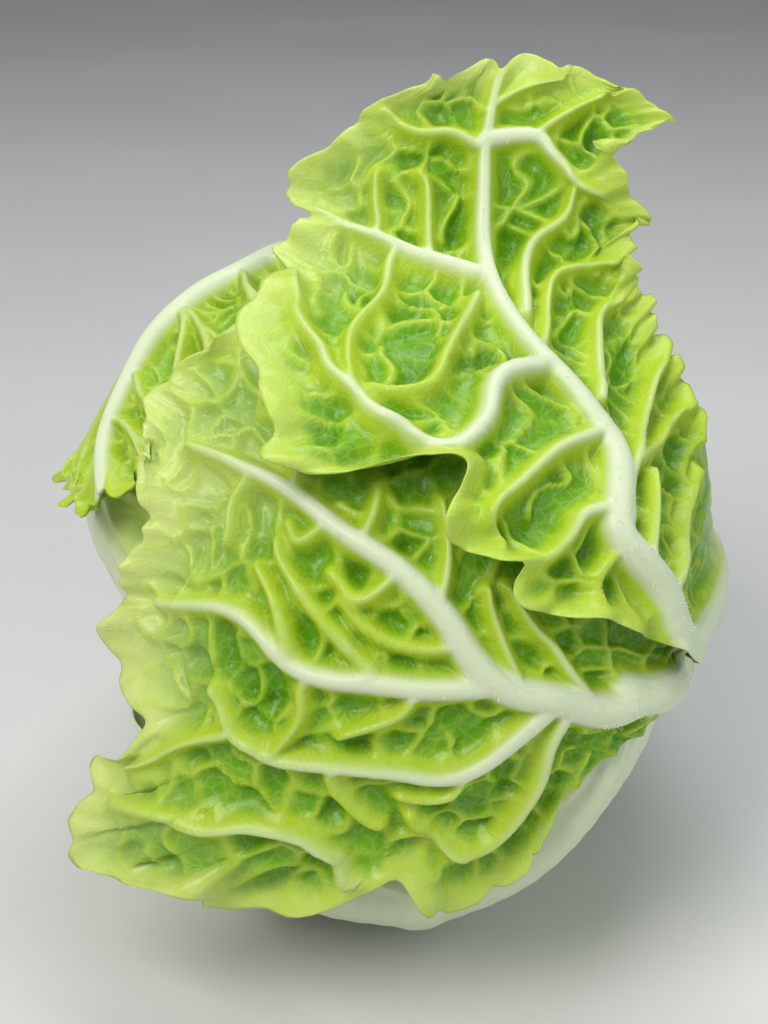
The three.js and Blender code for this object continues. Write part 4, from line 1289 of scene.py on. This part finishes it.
def tissue_group() -> bpy.types.NodeTree:
    """The shader group of leaf tissue, made once.

    Lime turns to green and dark with depth plus mottling, partly the tissue's own deeper green and partly painted
    shade in the pockets, then to dark or pale with tone, which also carries a painted shadow. The finest veinlets are
    the borders of bent cells, lime goes beside the veins, and the white ribs lie over it all.

    Returns:
        The group, with the inputs Rib, Lime, Green, Dark, Pale, Gloss, Vein, Halo, Depth and Tone and the outputs
        Color, Roughness and Height.
    """
    if "leaf tissue" in bpy.data.node_groups:
        return bpy.data.node_groups["leaf tissue"]
    tree = bpy.data.node_groups.new("leaf tissue", "ShaderNodeTree")
    for key in ("Rib", "Lime", "Green", "Dark", "Pale"):
        tree.interface.new_socket(key, in_out="INPUT", socket_type="NodeSocketColor")
    for key in ("Gloss", "Vein", "Halo", "Depth", "Tone"):
        tree.interface.new_socket(key, in_out="INPUT", socket_type="NodeSocketFloat")
    tree.interface.new_socket("Color", in_out="OUTPUT", socket_type="NodeSocketColor")
    for key in ("Roughness", "Height"):
        tree.interface.new_socket(key, in_out="OUTPUT", socket_type="NodeSocketFloat")
    into = tree.nodes.new("NodeGroupInput").outputs
    out = tree.nodes.new("NodeGroupOutput").inputs
    where = tree.nodes.new("ShaderNodeTexCoord").outputs["Object"]
    noise = tree.nodes.new("ShaderNodeTexNoise")
    noise.inputs["Scale"].default_value = MOTTLE_SCALE
    noise.inputs["Detail"].default_value = 4.0
    tree.links.new(where, noise.inputs["Vector"])
    bent = tree.nodes.new("ShaderNodeVectorMath")
    bent.operation = "MULTIPLY_ADD"
    bent.inputs[1].default_value = (VEINLET_BEND,) * 3
    tree.links.new(noise.outputs["Color"], bent.inputs[0])
    tree.links.new(where, bent.inputs[2])
    cells = tree.nodes.new("ShaderNodeTexVoronoi")
    cells.feature = "DISTANCE_TO_EDGE"
    cells.inputs["Scale"].default_value = VEINLET_SCALE
    tree.links.new(bent.outputs["Vector"], cells.inputs["Vector"])
    thin = maths(tree, "SUBTRACT", 1.0, ramp(tree, cells.outputs["Distance"], 0.0, VEINLET_WIDTH))
    open_tissue = maths(tree, "SUBTRACT", 1.0, ramp(tree, into["Vein"], 0.0, 0.5))
    veinlet = maths(tree, "MULTIPLY", thin, open_tissue)
    mottle = maths(tree, "SUBTRACT", noise.outputs["Fac"], 0.5)
    # Painted shade in the pockets: with depth the tissue goes from lime to green, partly its own colour, and the
    # deepest pockets go dark.
    deep = maths(tree, "MULTIPLY_ADD", mottle, 0.9, into["Depth"])
    body = mix_colour(tree, ramp(tree, deep, 0.2, 1.0), into["Lime"], into["Green"])
    body = mix_colour(tree, maths(tree, "MULTIPLY", ramp(tree, deep, 0.95, 1.6), 0.7), body, into["Dark"])
    # Tone darkens or pales parts of a leaf; one darker patch on the lower face leaf is a painted shadow.
    body = mix_colour(tree, ramp(tree, into["Tone"], 0.0, 1.0), body, into["Dark"])
    paler = ramp(tree, maths(tree, "MULTIPLY", into["Tone"], -1.0), 0.0, 1.0)
    body = mix_colour(tree, paler, body, into["Pale"])
    body = mix_colour(tree, maths(tree, "MULTIPLY", veinlet, 0.16), body, into["Pale"])
    body = mix_colour(tree, maths(tree, "MULTIPLY", into["Halo"], 0.62, clamp=True), body, into["Lime"])
    tree.links.new(mix_colour(tree, ramp(tree, into["Vein"], 0.05, 0.95), body, into["Rib"]), out["Color"])
    rough = maths(tree, "MULTIPLY_ADD", mottle, 0.25, into["Gloss"])
    tree.links.new(maths(tree, "MULTIPLY_ADD", into["Vein"], 0.14, rough, clamp=True), out["Roughness"])
    lift = maths(tree, "MULTIPLY_ADD", veinlet, 0.22, noise.outputs["Fac"])
    tree.links.new(lift, out["Height"])
    return tree


@dataclass(frozen=True)
class PlainFinish:
    """A one-colour finish with a little mottling, for the heart, the cut stem and the hairs."""

    name: str
    colour: Vector3
    second: Vector3
    roughness: float
    scale: float = 120.0
    bump_strength: float = 0.4
    bump_height: float = 0.0008

    def material(self) -> bpy.types.Material:
        """Builds the material.

        Returns:
            A Principled shader whose noise mixes the two colours and gives a low bump.
        """
        made = bpy.data.materials.new(self.name)
        made.use_nodes = True
        tree = made.node_tree
        shader = tree.nodes["Principled BSDF"]
        noise = tree.nodes.new("ShaderNodeTexNoise")
        noise.inputs["Scale"].default_value = self.scale
        noise.inputs["Detail"].default_value = 6.0
        tree.links.new(tree.nodes.new("ShaderNodeTexCoord").outputs["Object"], noise.inputs["Vector"])
        share = ramp(tree, noise.outputs["Fac"], 0.35, 0.7)
        tree.links.new(mix_colour(tree, share, self.colour, self.second), shader.inputs["Base Color"])
        add_bump(tree, noise.outputs["Fac"], self.bump_strength, self.bump_height)
        shader.inputs["Roughness"].default_value = self.roughness
        return made


@dataclass(frozen=True)
class Lamp:
    """A square soft light that points at the head: its place and side in metres, its watts and its colour."""

    name: str
    place: Vector3
    side: float
    power: float
    colour: Vector3
    target: Vector3 = (0.0, -0.02, 0.1)

    def build(self) -> bpy.types.Object:
        """Makes the light and turns it to its target.

        Returns:
            The light's object.
        """
        light = bpy.data.lights.new(self.name, "AREA")
        light.size, light.energy, light.color = self.side, self.power, self.colour
        made = bpy.data.objects.new(self.name, light)
        made.location = self.place
        made.rotation_euler = (Vector(self.target) - Vector(self.place)).to_track_quat("-Z", "Y").to_euler()
        bpy.context.scene.collection.objects.link(made)
        return made


@dataclass(frozen=True)
class Studio:
    """A pale floor, soft lights and the camera, which looks at aim from distance, with half_height in its frame."""

    aim: Vector3 = (-4.558, -65.935, 132.0)
    elevation: float = 24.0
    distance: float = 520.0
    half_height: float = 143.36
    sensor: float = 36.0
    floor: PlainFinish = PlainFinish("pale floor", (0.62, 0.62, 0.61), (0.66, 0.66, 0.65), 0.7, 3.0)
    floor_side: float = 6.0
    sky: Vector3 = (0.8, 0.85, 0.9)
    sky_strength: float = 0.22
    lamps: tuple[Lamp, ...] = (
        Lamp("key", (-0.55, -0.75, 1.05), 0.7, 13.0, (1.0, 0.98, 0.94)),
        Lamp("fill", (0.9, -0.6, 0.6), 1.0, 4.5, (0.93, 0.97, 1.0)),
        Lamp("top", (0.1, 0.25, 1.3), 0.8, 8.5, (0.95, 0.98, 1.0)),
    )

    def build(self) -> None:
        """Makes the floor, the lights, the world and the camera at the photograph's angle."""
        bpy.ops.mesh.primitive_plane_add(size=self.floor_side)
        floor = bpy.context.object
        floor.name = "floor"
        floor.data.materials.append(self.floor.material())
        for lamp in [light.build() for light in self.lamps]:
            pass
        world = bpy.data.worlds.new("studio")
        world.use_nodes = True
        background = world.node_tree.nodes["Background"]
        background.inputs["Color"].default_value = (*self.sky, 1)
        background.inputs["Strength"].default_value = self.sky_strength
        bpy.context.scene.world = world
        bpy.context.scene.view_settings.view_transform = "Standard"
        tilt = math.radians(self.elevation)
        back = Vector((0, -math.cos(tilt), math.sin(tilt)))
        data = bpy.data.cameras.new("camera")
        data.sensor_width = self.sensor
        data.lens = 0.5 * self.sensor * self.distance / self.half_height
        data.clip_start = 0.01
        camera = bpy.data.objects.new("camera", data)
        camera.location = (Vector(self.aim) + self.distance * back) * MM
        camera.rotation_euler = (-back).to_track_quat("-Z", "Y").to_euler()
        bpy.context.scene.collection.objects.link(camera)
        bpy.context.scene.camera = camera


def all_leaves() -> list[Leaf]:
    """The leaves with their veins and tones.

    Returns:
        Ten leaves from the innermost to the outermost.
    """
    forms = {form.name: form for form in all_forms()}
    plain = (*side_veins(0.3, 0.86, 8, 0.12, 1.1), spine(4.0, 1.2))
    left = (*side_veins(0.3, 0.8, 6, 0.1, 1.1), spine(5.5, 2.4))
    shoulder = (*side_veins(0.24, 0.86, 8, 0.12, 1.1), spine(6.0, 2.0))
    under = side_veins(0.6, 0.9, 4, 0.08, 1.0)
    upper_foot = Vein(6.5, 4.2, ((0.0, 0.0), (0.1, -0.08), (0.2, -0.35), (0.303, -0.60)))
    lower_foot = Vein(5.5, 4.4, ((0.0, 0.0), (0.12, 0.02), (0.24, 0.06), (0.348, 0.11)))
    wrap = dict(slot="wrapper_leaf", rows=96, columns=76, veins=plain)
    rim = dict(slot="wrapper_leaf", broad=True)
    face = dict(slot="face_leaf", rows=275, columns=178)
    return [
        Leaf(forms["leaf_top_left"], seed=11, **wrap),
        Leaf(forms["leaf_top_right"], seed=12, **wrap),
        Leaf(forms["leaf_lower_left"], seed=13, table=2.2, **wrap),
        Leaf(forms["leaf_lower_right"], seed=14, table=4.4, **wrap),
        Leaf(
            forms["leaf_right"], rows=150, columns=120, veins=plain, stalk_to=(0.5, 0.8), tone=0.1, seed=15, **rim
        ),
        Leaf(
            forms["leaf_left"], rows=180, columns=130, veins=left, stalk_to=(0.45, 0.8), tone=-0.25, seed=16, **rim
        ),
        Leaf(
            forms["leaf_shoulder"], "wrapper_leaf", rows=230, columns=130, veins=shoulder, cell=10.0, tone=0.3, seed=17
        ),
        Leaf(
            forms["leaf_under"], rows=180, columns=160, veins=under, stalk_to=(0.8, 0.96), tone=-0.5, seed=18, **rim
        ),
        Leaf(
            forms["leaf_lower_face"],
            veins=(*LOWER_VEINS, lower_foot),
            stalk_to=(0.12, 0.28),
            patches=(
                Patch(0.93, -0.2, 0.09, 0.9, -0.7),
                Patch(0.8, -0.85, 0.07, 0.3, -0.6),
                Patch(0.66, -0.95, 0.1, 0.25, -0.5),
                # Painted shadow: darker where the upper face leaf shades this leaf.
                Patch(0.62, 0.35, 0.2, 0.2, 0.3),
                Patch(0.7, -0.25, 0.06, 0.12, 0.2),
            ),
            ruffles=(Patch(0.82, -1.0, 0.045, 0.22, 6.0), Patch(0.48, -1.0, 0.08, 0.3, 3.5)),
            seed=19,
            **face,
        ),
        Leaf(
            forms["leaf_upper_face"],
            veins=(*UPPER_VEINS, upper_foot),
            stalk_to=(0.12, 0.26),
            patches=(
                Patch(0.41, 0.85, 0.09, 0.4, 0.3),
                Patch(0.62, -0.35, 0.09, 0.2, 0.35),
                Patch(0.8, 0.15, 0.06, 0.2, 0.3),
                Patch(0.8, -0.8, 0.1, 0.3, -0.5),
                Patch(0.98, -0.3, 0.06, 0.8, -0.35),
                Patch(0.45, -0.7, 0.08, 0.4, 0.2),
            ),
            ruffles=(Patch(0.6, -1.0, 0.07, 0.2, 4.0), Patch(0.5, -1.0, 0.04, 0.25, 3.5)),
            seed=20,
            **face,
        ),
    ]


def main() -> None:
    """Builds the leaves, the hairs and the studio, and gives the heart and the stem their finishes."""
    leaves = all_leaves()
    top = MapRaster(HEART_HEIGHT + HEART_SLACK, LOOK_CELL)
    finishes = {
        "face_leaf": LeafFinish("face leaf").material(),
        "wrapper_leaf": LeafFinish("wrapper leaf", green=(0.24, 0.47, 0.04)).material(),
    }
    for leaf in leaves:
        made = leaf.build(top)
        made.data.materials.append(finishes[leaf.slot])
        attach(made, "root")
        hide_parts(leaf.form.name)
        LOG.info("%s: %d faces", made.name, len(made.data.polygons))
    bristles = Bristles().build(leaves[-2:])
    bristles.data.materials.append(PlainFinish("hair", (0.85, 0.88, 0.75), (0.8, 0.84, 0.7), 0.4).material())
    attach(bristles, "root")
    for node, finish in (
        ("heart", PlainFinish("heart", (0.55, 0.68, 0.2), (0.66, 0.76, 0.34), 0.5)),
        ("stem", PlainFinish("cut stem", (0.78, 0.74, 0.55), (0.66, 0.58, 0.36), 0.65)),
    ):
        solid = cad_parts[node]
        solid.data.materials.clear()
        solid.data.materials.append(finish.material())
    Studio().build()


if __name__ == "__main__":
    logging.basicConfig(level=logging.INFO)
    main()
